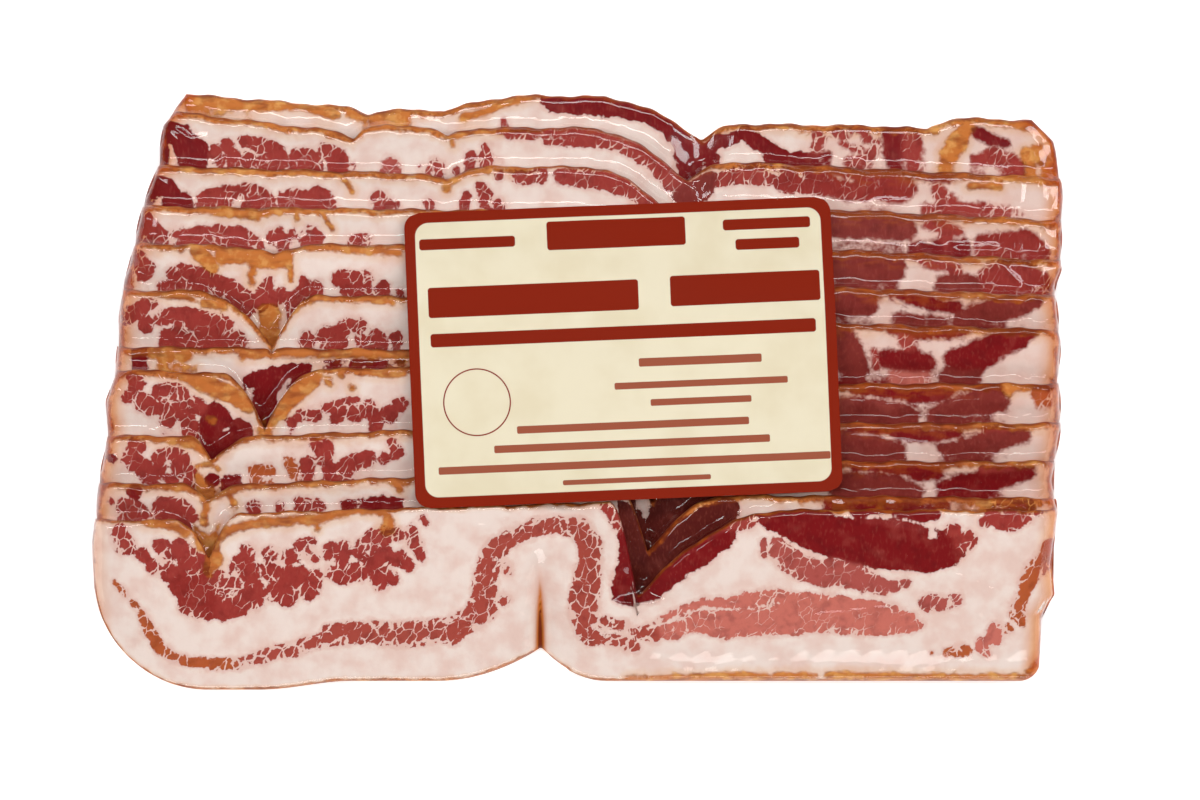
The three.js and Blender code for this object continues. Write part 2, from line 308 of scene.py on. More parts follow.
LEAN = {
    "A": """
d -7.5,69.8,1.2 -5,69.2,2 0,69,2.4 5,68.8 10,68.5,2.5 15,67.6 19,66.4 22.5,64,2.6 25.5,61,3 27,57,3.3
27,53.5,2.7; r -17.6,65.3,.5 -17.4,64.4,.9; d 30.5,57.5 33.5,60,1.4 38,60.8,1.2; 32.5,55.5,1.6;
40.5,62,1.4 43,59.8,1.7 46.5,57.6,1.3 50.5,56.3,.9 55,56.4 60,56.5,.5; r 56.7,62.3,.5 58,60.5,1.3
57,58.2,.9; 62.5,62.2,1.3 64,61,.8; 66,62.6,.6 68.5,62.7,.8 69.5,60.5,.7; 63.5,59.5,.7 65.5,58.2,.5
68,57.8,.4; 65,55.4,.5 69.5,56.2,.8 71.3,58,.7 72,60,.5; d 75.6,61.2,2.5 76,57.6,2.7; r 79.3,61.2,2.3
79.8,57.8,2.6 80.6,55.6,1.5 81.8,54,.8; d 95.5,61.8,1.2 99,60.5,1.1 103,59.5,.4; r 95.5,55.4,.9
99.5,56.3,1.7 103.5,55,1.8 106,53.8,1""",
    "B": """
d -99.5,56,1.6 -99.8,59,2 -99.6,61.6,2.2 -97.3,62.3,2 -94.5,61,2.6 -93,58.5,3 -90.5,57.3,2.7; r
-86.3,57.4,1.5; -83.4,58.7,1.7; -85.2,56,.9; -82,56,1.5; -78.8,55.3,1.8; -79.5,60,1.1 -76.5,59.2,1.4
-73,57.8,1.7 -71.3,55.8,2.2 -74.5,55,1.6; -67,56.5,1.4 -64,56,1.8 -62.5,55,1.6; -60,57.5,1.6 -58,56.5,2
-57,55,2.2; -68,54.2,1.1; -56,53.8 -54,53.7,.8; m -45.9,54.3,.7 -44.6,55,1 -43,54.3,.6; r -37.6,53.2,.5;
-35.6,53.4,.6; -33.9,55,.6 -32.8,53.6,1.1; -28.6,52.9,.7; -25.4,56.5,.8 -25.6,54,1; -22,58.8,.7
-21.5,56,1.4; -18.5,54,.9; -18,62.1,.9 -14.5,61.9,1.3 -11,62,1.2 -8,61.9,1.4 -6,61,1.9 -1,61.2 5,61,2.3
10,60.3,2.2 14,58.4,2.4 18,56 21,53.2,2.6 23.5,50.5,2.7; v 25.5,47.5,2.6 28,47.5,2.4 30,49,2.5
31.5,51,1.5; r 34.5,50.4,1.4 37,51.8,1.6 41,52.3 45,52,2.6; n 50,50.9 56,50.6,3 62,49.9,3.2 68,49.5,3.4
74,49.2,3.5 77.3,49,3.3; d 81,51.7 89,51,.7; r 86,49,.9 87,47,1.6 88.5,45,2 90.5,44,1.6; 83.5,43.8,.8
88,43.6,1.2; 92,43.8,.9 97,43.5,1 102,42.9,1.1 105.8,42,.7""",
    "C": """
d -103.3,47.6,2 -100.3,49.3,1.9 -98,49,2 -96.5,47,1.9; -94.3,46.6 -92.8,46,.9; r -90,46.4,.7 -87,47,1.3
-84.5,47.2,1.4 -81,47.8,1.2 -77.5,48.6,.8; -88.5,45.2 -84,45.2,.9; -82,44.9,.6; -78.5,45.6,1.4
-75.6,46.5,1.9 -73,45.3,1.3; -70,46,1.3 -67,46.2,1.9 -64,45.6,1.6 -62,47,1.8 -60,46,1.7 -58.2,44.9,.8;
-47,46.2,1.5 -45.6,45.3,1.2; -43,44.4,.5; -38,44.1,.4; -35.3,44.7,1.1; -26.4,46.7,.7 -27,44.7,.8;
-22.8,48.7,1 -21.8,46.4,1.5; -19,44.8,.9; -18.5,51.7,.8; -14.5,51.2 -12,51,1.4; -8.5,51.8,1.5; -4,51.5,1.5
0,51.2,2 5,50.8,2.1 9,49.8 12.5,48.3,2 16.5,46.2,1.8 19.5,44.5,1.5; v 62,39.7,3.6 70,39.4,3.8 77,39,3.7; d
64,42.6 76,42.4,1; r 84,40,1 88,39.3,1.2 91,38.2,.7; 88,37.2,1.4 88,35,1.5; d 80,34.3,.8 87,34.7,1.2
92,34.8,1.5; n 97,35.2,1.9 102,35.6,2.4 107,35.8,2.5 110,34,2.2 111.5,31.5,1.4""",
    "D": """
r -105.6,36.8,2 -104.5,39.5,1.8 -103,41.3,1.5 -101.5,38.8,2.3 -98.5,37.3,1; d -105,36,1; r -95.5,37.7,.8
-92.5,37.7,1 -90,37.6,1.6 -85,37.6,1.9 -81,37.4,1.8 -78.3,36.7,1.5; -92,35.8 -84,35.6,.7; -76,35.3,1;
-72.3,37,1.3 -70.8,37.8,1 -70,36,1.2; -67.8,37.4,1; -64.8,37,1.1 -63.2,38.3,1.2 -61.8,36.3,1.4; -66,35,.8;
-53,36.4 -50.5,36.6,1; v 62,30.3,4 70,30.1,4.1 74.2,29.8,3.7; r 81,32.3,.9 84,31.3 87,30.2,1.4
90.5,28.8,.9; v 87.5,26.4,1.7 92,26.2,1.6 95,25.6,1.4; n 98.5,27.3,2.7 102,28 106,28,3.3 110,26.5,2.4
111.3,25,1.4""",
    # In E the strokes in tone b paint shade into a pocket between layers on the right.
    "E": """
r -104.5,31.3,2 -103,28.8,2.2; o -107.3,29,1.5 -107.8,25.5,1.8; r -96,28.2,1.4 -93,28.4 -89,27 -85.5,25.6
-82,24.6,1.9 -80,22.6,1.7 -77,21,1.6; -98.5,25.3 -90,24.8,1.2; -73.4,26,.9 -74.2,24,1.5 -75.5,21.5,2;
-72,22.3,1.7; -70.3,24,.9; -68.5,22,1.6 -65.8,22.6,1.5 -65,25.2,1.3 -65.3,26.8,.6; -62,24.9,1.4;
-68.5,20,.9; -56.6,27,1.4 -53,27.3,1.3 -50,27,1.4; -55,24.8,1 -51.5,24.6,1.3 -49,23.8,.9; -46,24.8,1.3;
-42.5,23.5,1.1; v 62,23 70,22.8,1.6; 61,20.5,2.3 69,20.6,2.2; b 61,19.7,.9 68.5,20.1,.8; d 75,23.2,.8
80,21.6,1.2 85,20.6,1.4 90.5,20,1.1; v 85,17.3,1.2 92,17.8,1.7 96,19,2.2 101,19.7,2.6 106,20.4,2
109.5,21.2,.9; 76,18,.6 82,17,.8""",
    "F": """
r -107.5,17.3,1.3 -105.5,19,1.7 -103,20.6,1.4 -101,20.9,.9; -102.8,16.2,1.7; -99,17.2,1.5 -96.5,18,1.7
-93,17.7,2 -89,16.8,2.3 -86,15.5,2.8 -83.8,15.8,1.9; -98,13.4,1.4 -95,13.2,1.8 -92.5,12.6,1.4
-88.5,12.6,1.8 -84.5,13,1.6; -81,12.8,1.6; -84,11.5 -79,11.5,.8; -64.3,12.4,1.5; -60,13.5,1.7
-56.5,13.8,1.9 -55,15.8,1.6 -51.5,15.8,1.3; -56,11.8,1; -51.5,12.2,1.4; -48,13.3,1.6 -46,12.2,1;
-43,13,1.3; v 62.5,14,2.6 63.2,11 65.3,7.6,3.7 67.3,4.8,1.8; r 77.5,13,1 78.6,11.5,1.7 79.2,10.2,1.4; d
73.5,7.8,1.8 76.5,7.6,2.3 80,7.4,2.5 83,6.8,2; r 70.6,9.4 71.3,6,.5; d 75,15,.9 80,14.3,1.1 86,13.9,1.2
92,14.4,.9; 89.5,8,2 92,7.3,3.2 96,8.5,3.5 101,11,3.1 105,12.8,2.1 108,13.8,1; v 87.5,4.5,1.6 92,4.2,2
95.5,5,1.3; p 75,4.2 83,3.8,.8; d 63,3,.8 74,2.6,1.1 84,1.8,.8""",
    "G": """
d -104.3,10.5,1.4 -104,8,1.7; -60,6.4 -55,6.9 -48,6.8 -40,6.7,.6; -77.5,2.8,1.5 -73.5,2.6,2.9 -70,4.5,1.5
-64,6,.6; -74.5,-1,2.8 -74.3,-4.5,2.4; 66,.8,1 74,.3,1.3 82,-.4,1.4 89,.1,1; 76,-1,1.1 84,-1.4,1 88,-1,.8;
v 64,-4,2.8 72,-4.2,2.6 79,-5,2.2; 85.5,-4.6,2.1 90,-3.6,2.7 95,-2.4,3.1 99,-2,2.9 101,-3,1.7; d
96,1.3,1.5 99.8,.8,1.2; o 110.5,1.5,2.5 111,-1.5,2.1""",
    # In H the last strokes, in tone b, paint shade into the middle notch under the label.
    "H": """
r -105.6,3.2,1.5 -105,1.6,1.7; -107,-1.2,1.3; -103.5,-2.2,2 -101.5,-3.5,1.8; -99.5,-.3,1.6 -95.5,.3,1.7
-93.3,-.8,1; -98.8,-4,1.6; -95.3,-4,2; -91.8,-3,1.8 -89,-4,1.2; -97.5,-6.5,1.8; -92.5,-7.3,2
-91.5,-9.3,1.3; d -85.8,-6,3.1 -87.5,-9.5,2.3; -80.5,-8.3,1.6 -78.8,-8.5,1.2; -87.5,-12.4,1.9
-84.5,-11.5,1.8 -81,-11,1.5; r -66,-5.6,1.1; -62.7,-5.5,1.4; -59.7,-4,1 -56,-3,1.1 -52.5,-1.9,.6;
-68,-7.3,1.1; -57,-5.8,1.4; -53.3,-5.3,1.7 -49.5,-3.8,1.6; -48,-6.3,1.7; -44.7,-5,1.7; -42,-3,1.5; d
66,-8.6,.8 73,-8.9,1 78,-10,1.3 84,-10.7,1.2 90,-10,.9; v 64,-12.2,2.8 70,-12.8,2.6 76,-13.7,2.1;
88,-13,1.8 93,-12.8,2.1 99,-11.8,2.7 103.5,-11,2 106.5,-10.2,1.1; r 97,-9 103,-9,.7; b 12,-17,5 20,-18,6
28,-16,5""",
    # In I the strokes in tone b paint shade into the middle notch at the label's edge.
    "I": """
r -104.8,-12.7,1.9 -106.2,-16,2.3 -103,-18.2,1.7; -99.5,-15.6,1.7 -97,-14.7,1.3 -94.3,-16.2,1.9;
-99.3,-18.2,1.5 -102,-19.5,.8; -95,-18.4,1.5 -92.3,-19,1.4; -97,-20.3 -92,-20.8,.8; d -111,-15.6,.9;
-87,-21.3,1.5; -83.3,-21.5,1.3 -80.5,-20.8,.7; o -77,-19,1.1 -73,-18.8,1; -68.4,-16.8,1.2 -67.5,-18.8,.8;
r -64,-17,1.6 -64,-19,1.2; -62.5,-11.8,.9 -60,-13.5,2.1 -59.8,-16.5,1.7 -59,-18.8,1.3; -56.3,-18.2,1.4
-53,-16.6,1.9 -49.8,-15.9,1.7; -46,-15.7,1.1; -43,-14.5,1.4 -44,-12,.7; d 66,-17.3,.9 70,-18,1.1
76,-18,1.6 81,-19.2,1.8 85.5,-19.2,1.3; v 63,-22,2.6 70,-21.9,2.7 77,-22.6,2.2 81,-23.6,1.4; r
97,-18.8,1.2 103,-18.6,1.1; d 87.8,-22.5,1.8 93,-22.1,2.2 99,-21,2.4 104,-20,2 108,-19.2,.9; b 11,-23,4
17,-29 23,-28,5 30,-24,4; 17.5,-35,3; v 22,-30,1.5 27,-28.5,1.6""",
    # In J the strokes in tone b paint shade into the middle notch.
    "J": """
d -105.5,-23.8,1.6; r -107.3,-27.5,2.3 -104.5,-28.3,1.5; -99,-27.6 -95.2,-27.3,1.9 -92.2,-29.6,1.5;
-103,-29.3 -96,-29.8,.8; -111,-26,.6; -76.8,-28,1.6 -75.3,-29,1.3; -70.6,-27.6,1 -69.6,-28.8,.8;
-66,-26,.8 -63,-26.3,.9 -61,-27.3,.7; -66.5,-28.3,1.2; -62.3,-28.3,1.1; d -59,-28.9 -55,-26.7 -50,-26.6
-46,-25.6 -42,-26,.6; d 60,-26,.9 66,-26.8,1.3 72,-27,1.6 78,-27.2,1.7 83,-28,1.6 87,-27,1.3; r 100,-26.2
108,-26.5,.6; b 15,-46,3; 11,-30,3.5 13,-36,4 16,-41,4.5 20,-38,4 25,-34,3.5 30,-31,3 36,-27.5,2.2""",
    "K": """
r -109,-33.5,1.8 -107.5,-36.5,2; -103.5,-39,1.6; -99,-36.8,1.7; -97,-38.5,1.7; -101,-41.5,1.5; -97,-43,2;
-94.5,-37,1.8 -92.5,-39.5,2.3; -93,-41.5,2 -90,-41,2.3; n -94,-46,3 -89,-47,3.8 -92,-50,3.2 -88,-51.5,2.6;
r -85.5,-44,1.5 -85,-48,1.8; -82.5,-45.5,2; -84,-51.5,2.8 -81,-51,2.5; -79,-47.5,2.2 -77,-49,2.5;
-79.5,-41.5,2.8 -78.5,-38.5,1.7 -78,-43.5,2; -76,-46,1.2; -73,-38.5,1.5; -73,-42.5,2.2; -72,-47.5,2.2
-70,-46,2.6 -68.5,-44,2.5 -69,-48.5,2.3; -68.5,-39.5,1.8; -65.5,-36.5,1.6 -63.5,-35.5,1; -64.5,-38,1;
-62.5,-39.5,1; -64,-47,2.3 -62.5,-44,1.8; -66,-44,2; -58.5,-38,2; -55.5,-37.2,1.6; -56,-40,1.5;
-52,-38,1.3 -51.5,-36.5,.8; -58,-43,1.6 -55,-43.5 -52,-43,2; -48,-35.5,2.8 -46,-34.5,2; -48.5,-40.5,2
-46.5,-38.5,2.3; -46.5,-44.5,2.6 -44.5,-44.3,1.8; -44,-40,1.5; -42,-39.5,1.5 -40,-41.5,1.2; -43,-34,1.5;
-39.5,-33 -38.5,-36.5,1.2 -36.8,-39.5,.7; -37,-30 -36,-31,.4; o -110.5,-45.5,.15 -109,-47 -107.7,-48.5,.4;
-106,-50.3 -105.5,-51,.3; -104,-53,.6 -103,-56,.9 -101,-59,1 -99.5,-61.5,1.1 -97,-63.2,.8 -94,-64.3,.9
-90,-65,1 -86,-65 -81,-65,.9; s -81,-65,.9 -77.5,-64,1 -74,-62.8 -71,-62,1.3 -67.5,-61.6,1.4 -63.5,-60,1.5
-60.5,-59.2,1.7 -59,-58.3,2.2 -56,-57.7 -52,-57.5,2.3 -48,-57.5 -44,-57.8,2.4 -40,-57.8,2.7
-36.5,-57.5,2.6 -33,-56.8,2.5 -30,-57,3 -27,-55.5 -24.5,-53.5,2.6 -22.5,-51.5,3.2 -22,-48 -22,-44.5,2.6
-20.8,-41,2.4 -19.5,-37.5,2.2 -17,-35.5,1.8 -13,-33.5,1.7 -9,-32.3,1.8 -5,-31.8,1.9 -1.5,-32,2 1,-33,2.4
2.8,-36,2.6 3,-40,2.4 2.5,-44,3 1.8,-48,3.3 1.5,-52,3.2 1.8,-55.5,2.6 3,-58.3,2; 6,-55.2,.9 11,-55.5,1; s
3,-59,1 9,-59.3,1.2 13.5,-60.8,1.4; 14,-57.5,1 18,-57.5,2; p 22,-56,2.8 27,-54,3 31,-53.5,4 36,-54,4.6
41,-53,5 46,-52.5,5.2 52,-52.8,4.8 58,-52.8,4.3 64,-53.3,4 70,-54,3.9 75,-54.4,3.2 79,-55,2.3
81,-55.3,1.4; s -17,-42,1.2; -17.5,-49.5,1.3; m 84,-50.3,2 87,-50.5,1.2; 90,-49.8,1.6; 44.3,-36
44.5,-38.5,.6; m 47.5,-36,1.4 48.5,-38,2.3 50.5,-40,2.7 54,-42,2.6 58,-43,2.8 62,-43,3 66,-43.7,2.8
70,-45.3,2.1 73,-46.3,1.6 75.5,-46.3,1.2; 78,-45.5,.8; r 6.8,-27.5,.9 9.3,-29.5 10.6,-32,1.4; d 12,-34,2
12.6,-38,2.2 12.3,-42 10.6,-45.5,2.1 10.6,-48,2 13,-48.8,1.6 17,-47.8,2.2 20,-45.3,2.5 23,-42,2.8
27,-39.3,3 31,-37.4,2.7 35,-34.8,1.8 36.5,-34,1; r 30,-33.5,1.3 36,-30.7,2 40,-29.8,2.6; d 46,-29,3.1
52,-31,4.1 56,-32.4,4.8 60,-34,4.7 66,-35.3,5.3 72,-36,5.8 78,-36.6,5.6 84,-37.8,4.8 88,-37.8,3.7; r
90,-36.5,2 93,-35,1.8; 89.5,-33,1.7; m 69,-31.2,.7 76,-32.2,1.2 81.5,-33.2,1; d 66,-28.6,1 76,-28.2,1.3
82,-29.2,1.5 85.5,-29.4,1; r 97,-31,1.2 98.5,-29.5,1.9 101,-30 104,-30,2.6 107,-29,2 109.5,-28.3,1;
100,-27.5,1.5 105,-27.5,1.3; o 112.5,-36.5,1.3 111,-40.5,2 108.5,-43,1.8 107,-46,1.5 105.8,-49,1.2
105,-52.5,1.7 106,-54.5,1; 103,-56.5,.8; p 100,-56.8,1.6 99.5,-59,1.5; 96.5,-60.5,1.4 98,-62.8,.6; o
93,-61.7 90,-62,1 88,-62.5,.8; 84.5,-62.4,.2""",
}

# %% Streaks of fat that cross the lean

FAT = {
    "A": "82.5,55,.7 84,58,1.2",
    "B": "46,53,.8 47.8,52,.9; 53.5,51.7,.7; 61,51.8,.4 66,50.3,.6; 81.5,50 82,45,.8",
    "C": "81.3,41 82,37.5 84,36,1.2; 60,36.2,.9 79,35.6,.8",
    "D": """
78.8,31,1.2 80,28.3,1.3 84,28,1.4 88,28.6,.9; 93.5,29.5,1.6 96,30.8,1.3; 92,27.9,.5; 60,26.3 67,25.8,.5""",
    "E": """
75.5,22,.9 79,20,1 84,18.8,1.1 89,18.2,.8; 72.5,19.3,1.6; 106,17.3,1.3 110,18,1.9; 92.5,20.6,.5 97,21.8,.6""",
    "F": """
-91.5,14,.9; 64,17,.6 67.8,13 69.6,8.5,1 70,4.5,.9; 72,13,2 74.5,11.8,1.9; 80.5,11.4,1 86,11.5,1.4
92,12.6,1.1; 86,9.5,1.1 86.6,6.5,1.3 85.2,3.3,.9; 97,4,1 102,6.3 108,9.3,2.3""",
    "G": """
-86.5,8,2 -83.5,6.8,2.3; -79,6.8 -72,6.6 -64,7.3,.7; 66,-.9,.5 72,-1.4 78,-2.5 81.5,-4.6,.6; 83,-5.5,.7
83.3,-3.8,.6 87,-2.2 91,-.6 94,.4,.5; 103.5,-4,1.8 106,-2,2 107,.5,1.5; 97,-6.4 104,-6,.5""",
    "H": """
66,-9.7,.4 73,-10.4,.5 78,-12,.6 81,-13.6,.8; 81.5,-13.7,.9 85,-12.6,.8 90,-11.3,.6; 92.5,-10.4,1
95,-10,.5; 101,-14.8 106,-13.4 110,-11,1.4""",
    # The last stroke of I adds no fat that the slice has: it paints a small pure white spot at the tip of the
    # middle notch, just under the label's edge.
    "I": """
63,-19.2,.45 72,-19 78,-20.2,.5 81,-21.6,.6 84,-23.6,.8; 84.5,-22.7,.7 87,-20.6,.9 91,-19.2,1
94.5,-18.8,.8; 101,-24 106,-22.5 110,-20.5,1.3; 15.8,-26.5,2.3 16.4,-30,.9""",
    # The last stroke of J paints the same white spot.
    "J": "89.5,-27.5,1.2 96,-27.2,1.1; 16,-27,1.3",
    "K": """
84.3,-31.3,1 84.6,-34,1.5; 58,-28.2,.4 61,-29.6 66,-30 72,-29.5 76,-29.6 80,-30.7 83,-31.5,.45; 17,-56.3
22,-54.8 26,-52.8 30,-51.6 36,-51.9 42,-51.5 48,-50.3,.6; 90,-31 96,-29,1""",
}

# %% Smoked rims and bulges

SMOKE = {
    "A": """
-92,69.4 -86,69.3,1.8 -80,69,1.6 -74,68.6,1.3 -66,68.3,.9 -60,67,1.4 -58,66.3,1.1; -54.5,66.8 -51,65.5,.9;
-48.5,66,1.5 -44,66,1.7 -41,66.3,1.4; -27,66,1 -24,66.5 -20.5,67.6 -18.5,68.6,.9 -14,69.7,.7 -10,70.4,.4;
40,63.5 44,64.6 50,63.5,.6; 93.3,63,1.9 91,59.8,2.3 89,56.3,2.1 87.8,54,1.2; 85.5,62.5,1; 98,65.3,.8
103,65,1.3 108,63.6,1.4; 110,58,1.5 112.5,54,1.6; 107.5,57 108.5,53.5,1.4""",
    "B": """
-92,67.2,.4 -87,66.3 -82,65.6,.5 -77,64.6,.6 -71,63.6,.9 -66,63.3,.8 -60,63.6,.7 -56,62.6,.8 -54,61.2,.6;
-71,62.7 -69,61.9,.5; -50,63 -42,63.7 -35,62.8 -31.5,61.6 -28.5,61 -25,62.2 -20,62.5,.6; -30,60.5
-29.6,58.8,.4; 36,54.8 42,55.2 50,54.3 60,53.3 75,52.5,.3; 91,52 95,52.6 99,52.3 104,51.5 112,50.5,1;
94,49.3 101,49.3,.8""",
    "C": """
-98.5,55,1 -95,54.3,1.4 -91,53.6,1 -86,53,.7 -78,52.6,.8 -70,52.4,.6 -62,52.3,.8 -57,52.4,.5; -56.5,51.5
-55,50 -53.8,48,.45; -50,53 -42,52.4 -36,51.6 -32,50.8 -30,50.2 -26.5,52 -21,52.6,.6; -31,49.5
-31,48.2,.7; 60,44 80,43.4,.5; 82,42.4 90,41.8,.8; 90,41.3 98,41.3 104,40.3 110,41,.5""",
    "D": """
-99,44.8,.5 -94,43.9,.8 -89,43.3,.7 -84,42.7,1 -77,42.3,1.1 -72,42.9 -66,43.3,.7 -60,43.5,.6 -50,43.6
-42,43.3,.5; -76,41.3,.6; -67,42.8 -66.5,41.2,.4; -61,43 -59.6,41 -58.3,38.8,.45; 60,34.2 78,33.6,.5;
90,32 95,31.3,.8; 98,32.2 108,31.5,.4""",
    "E": """
-90,33.3 -87.5,31,1.8 -86.5,29,1; -84,32.5,2.3 -80,32.5,2.2; -76,32 -70,32,2.6; -77,29.5 -77.6,27.5
-77.2,26,.8; -68,29.5 -68,26.5,.6; -64,34.3 -56,34 -48,33.5 -42,33,.8; -73.3,18.5,2.6 -73.4,13.2,2.2;
62,25 70,24.5 80,25,.7; 89,24 97,23,1.1; 99,22.8 108,22,.4""",
    "F": """
-104.5,23.8,.5 -99,23.7,1.2 -94.5,22.8,1 -91,21.8,.5; -88.5,21.2,1 -84,20.3,.7; -70,15,.5 -68.8,18.5,.7
-66,21 -62,22.4,.8 -56,22.8,1 -50,22.2,.9 -44,21.3,.6; 72.5,16.3,.9 77,16,.8; 77,15.2 90,15.3,.7; 92,15
97,14.6,.7; 98,15.4 107,14.6,.3; 109,14.5,1.2""",
    "G": """
-107,10 -101,9.3,1.3; -98,8.5,2.4; -93.5,9,2; -96,6 -91,5,1; -79.5,9,1.3 -72,9.3 -62,9.3,1.2 -50,9.2
-40,9.1,1.3; -74.7,-7.6,1.7; 64,1.6,1 68,.8,.7; 88,1 93,1.5,.8; 102.5,.5,1.5 105.5,1.8,.8""",
    "H": """
-100,5.6,.9 -95,4.6,1.3 -90,2.6,1.9 -86,.9 -82,-.9,2.1 -78.5,-3.4,1.4; -70.6,-4,2.4 -68.6,-.4 -66,2,3.3
-63,3.3,2.4; -59,2.5,1; -56,4.3,.9; -52,4.8,.6 -45,4.3,.9 -41,4.5,.7; -53.5,1,.7; -73,-6.5,1.6
-75,-9.3,1.2; -87,-6.7,1; 63,-7 72,-7.3,.8; 83,-8,.8 90,-8,1 97,-7.8,.8 104,-8.3,.5 108,-8.5,.7""",
    "I": """
-90.2,-20.3,1 -88.8,-23.2,1.5 -86.3,-24,1.3 -84.6,-22.8,.8; -105,-10.2,.5 -100,-10.7,.9 -95,-11.3,1.1
-91,-12.5,1 -89,-14.5,.7; -90.5,-17.8 -87,-17.2 -85.3,-18.6,.4; -68,-9 -64,-8.3 -58,-8.8,.8; -55.5,-8.8
-50,-8.5 -42,-8,.9; 63,-16.3,.8 70,-16.6,1 77,-16,.7; 90,-16.6,.8 97,-16.5,.9 104,-17,.5 108,-17.5,.7""",
    "J": """
-103,-21.8,.5 -98,-22.5 -93,-23,.8 -90,-23.7,.5; -88.7,-24.5 -88.3,-28 -88.8,-31.5,.8; -91.5,-33,1.4
-89.5,-35.5,1.9 -88,-38,2.2 -86.4,-35.5,1.9 -84.5,-33,1.3; -86,-25,.4 -82.5,-23.7,.8 -79,-22.5,.7
-74,-22,.8 -69,-21.3,1.1 -63,-21.3,1.2 -57,-20.6,1.1 -50,-19.7,1.2 -44,-20.3 -42,-23,1; -82.8,-24.5
-81.8,-26.8,.7; 62,-26.8,1.2 66,-27.5,.8; 72,-25.8 80,-24.8,.7; 90.5,-25.8,.6 96,-25.7,.8 102,-25.5,.5
109,-26.3,.4""",
    "K": """
22.5,-36.2 26,-33.8,1.3 31,-30.7,1 37,-28.2,.7; -103,-31 -99,-31.5 -95,-32.5 -93,-33.5,1; -90,-34
-89,-37,1.2; -87,-36 -86,-40 -87.5,-42.5,1.5; -86,-35 -84,-33.5 -80,-32 -75,-31 -70,-30.8 -65,-30.5
-62,-30.5 -58,-29 -53,-28 -48,-28 -45,-29.5 -44.5,-32,1.1; -62,-31 -61.7,-32.5,.5; -45.5,-33,1.5; 12,-68.7
28,-68.2 42,-67.7 46,-68.2,.7; 47,-67.8 57,-67.8,.7; 60,-67.8 108,-68.3,.7; 108,-67 110.3,-64,.6""",
}

# %% Read the strokes


def read_strokes(text):
    """A text of strokes as segments: x, y and half-width of both ends, and the tone."""
    segments = []
    tone = "r"
    for stroke in text.split(";"):
        words = stroke.split()
        if words[0] in TONES:
            tone = words.pop(0)
        points = [[float(number) for number in word.split(",")] for word in words]
        width = points[-1][2]
        for point in reversed(points):
            if len(point) == 2:
                point.append(width)
            width = point[2]
        ends = points[1:] or points
        segments += [(*a, *b, tone) for a, b in zip(points, ends)]
    return segments


# %% Paint with the strokes
# Beyond this distance in mm a stroke isn't felt.
STROKE_REACH = 5.0
TONE_PULL = 2.5


def painted(segments, x, y):
    """How deep each point lies in the strokes, in mm and below zero outside, and their tone there."""
    depth = np.full(x.shape, -STROKE_REACH)
    weight = np.full(x.shape, 1e-6)
    tone_sum = weight[..., None] * np.array(TONES["r"])
    for x0, y0, r0, x1, y1, r1, tone in segments:
        margin = STROKE_REACH + max(r0, r1)
        near = (x > min(x0, x1) - margin) & (x < max(x0, x1) + margin)
        near &= (y > min(y0, y1) - margin) & (y < max(y0, y1) + margin)
        px, py = x[near] - x0, y[near] - y0
        dx, dy = x1 - x0, y1 - y0
        share = np.clip((px * dx + py * dy) / max(dx * dx + dy * dy, 1e-9), 0, 1)
        inside = mix(r0, r1, share) - np.hypot(px - share * dx, py - share * dy)
        depth[near] = np.maximum(depth[near], inside)
        pull = np.exp(np.clip(inside, -STROKE_REACH, 2) * TONE_PULL)
        weight[near] += pull
        tone_sum[near] += pull[:, None] * np.array(TONES[tone])
    return depth, tone_sum / weight[..., None]


lean_strokes = {name: read_strokes(LEAN[name]) for name in NAMES}
fat_strokes = {name: read_strokes(FAT[name]) if name in FAT else [] for name in NAMES}
smoke_strokes = {name: read_strokes(SMOKE[name]) for name in NAMES}
print("strokes of lean:", sum(len(found) for found in lean_strokes.values()))

# %% [markdown]
# ## Where a slice can't be seen
#
# Only the front slice shows whole. The others show a strip, and from below their front edges. The
# belly changes little from one slice to the next, so the hidden part of a slice borrows the front
# slice's lean, moved along with its edge.

# %% Paint a slice
# The strokes end this far above the next slice's edge, and from there run straight on under it.
COVERED = 1.6
# The film presses the rear slices' seams thinner to the eye than the front slice's.
REAR_SEAMS = 0.7


def paint_slice(k, x, y):
    """Depth in the lean, depth in the smoked rim, and tone, for points of slice k."""
    name = NAMES[k]
    seen_y = y
    if k < FRONT:
        seen_y = np.maximum(y, rear_edge(k + 1, x) + COVERED)
    lean, tone = painted(lean_strokes[name], x, seen_y)
    fat, _ = painted(fat_strokes[name], x, seen_y)
    lean = np.minimum(lean, np.where(fat > -STROKE_REACH, -fat, STROKE_REACH))
    smoke, _ = painted(smoke_strokes[name], x, seen_y)
    if k < FRONT:
        borrowed_y = y - level(k, x) + level(FRONT, x)
        borrowed, borrowed_tone = painted(lean_strokes["K"], x, borrowed_y)
        hidden = smoothstep(-1, -3, y - rear_edge(k + 1, x))
        lean = mix(lean, borrowed, hidden)
        tone = mix(tone, borrowed_tone, hidden[..., None])
        smoke = mix(smoke, -STROKE_REACH, hidden)
        tone[..., 3] *= REAR_SEAMS
    return lean, smoke, tone


# %% [markdown]
# ## Modelling a slice
#
# A slice is a soft strip of belly with rounded edges. Its outline could be extruded, but such a slab
# wouldn't bend over the slices under it. So it is made as a flat tube: a grid whose rows run round
# it, over the top from the rear edge to the front one and back underneath, close together where the
# slice shows. The grid primitive gives the mesh, code moves its vertices onto the slice, and edit
# mode welds the seam and closes both ends.

# %% Helpers for mesh work


def deselect_all():
    bpy.ops.object.select_all(action="DESELECT")


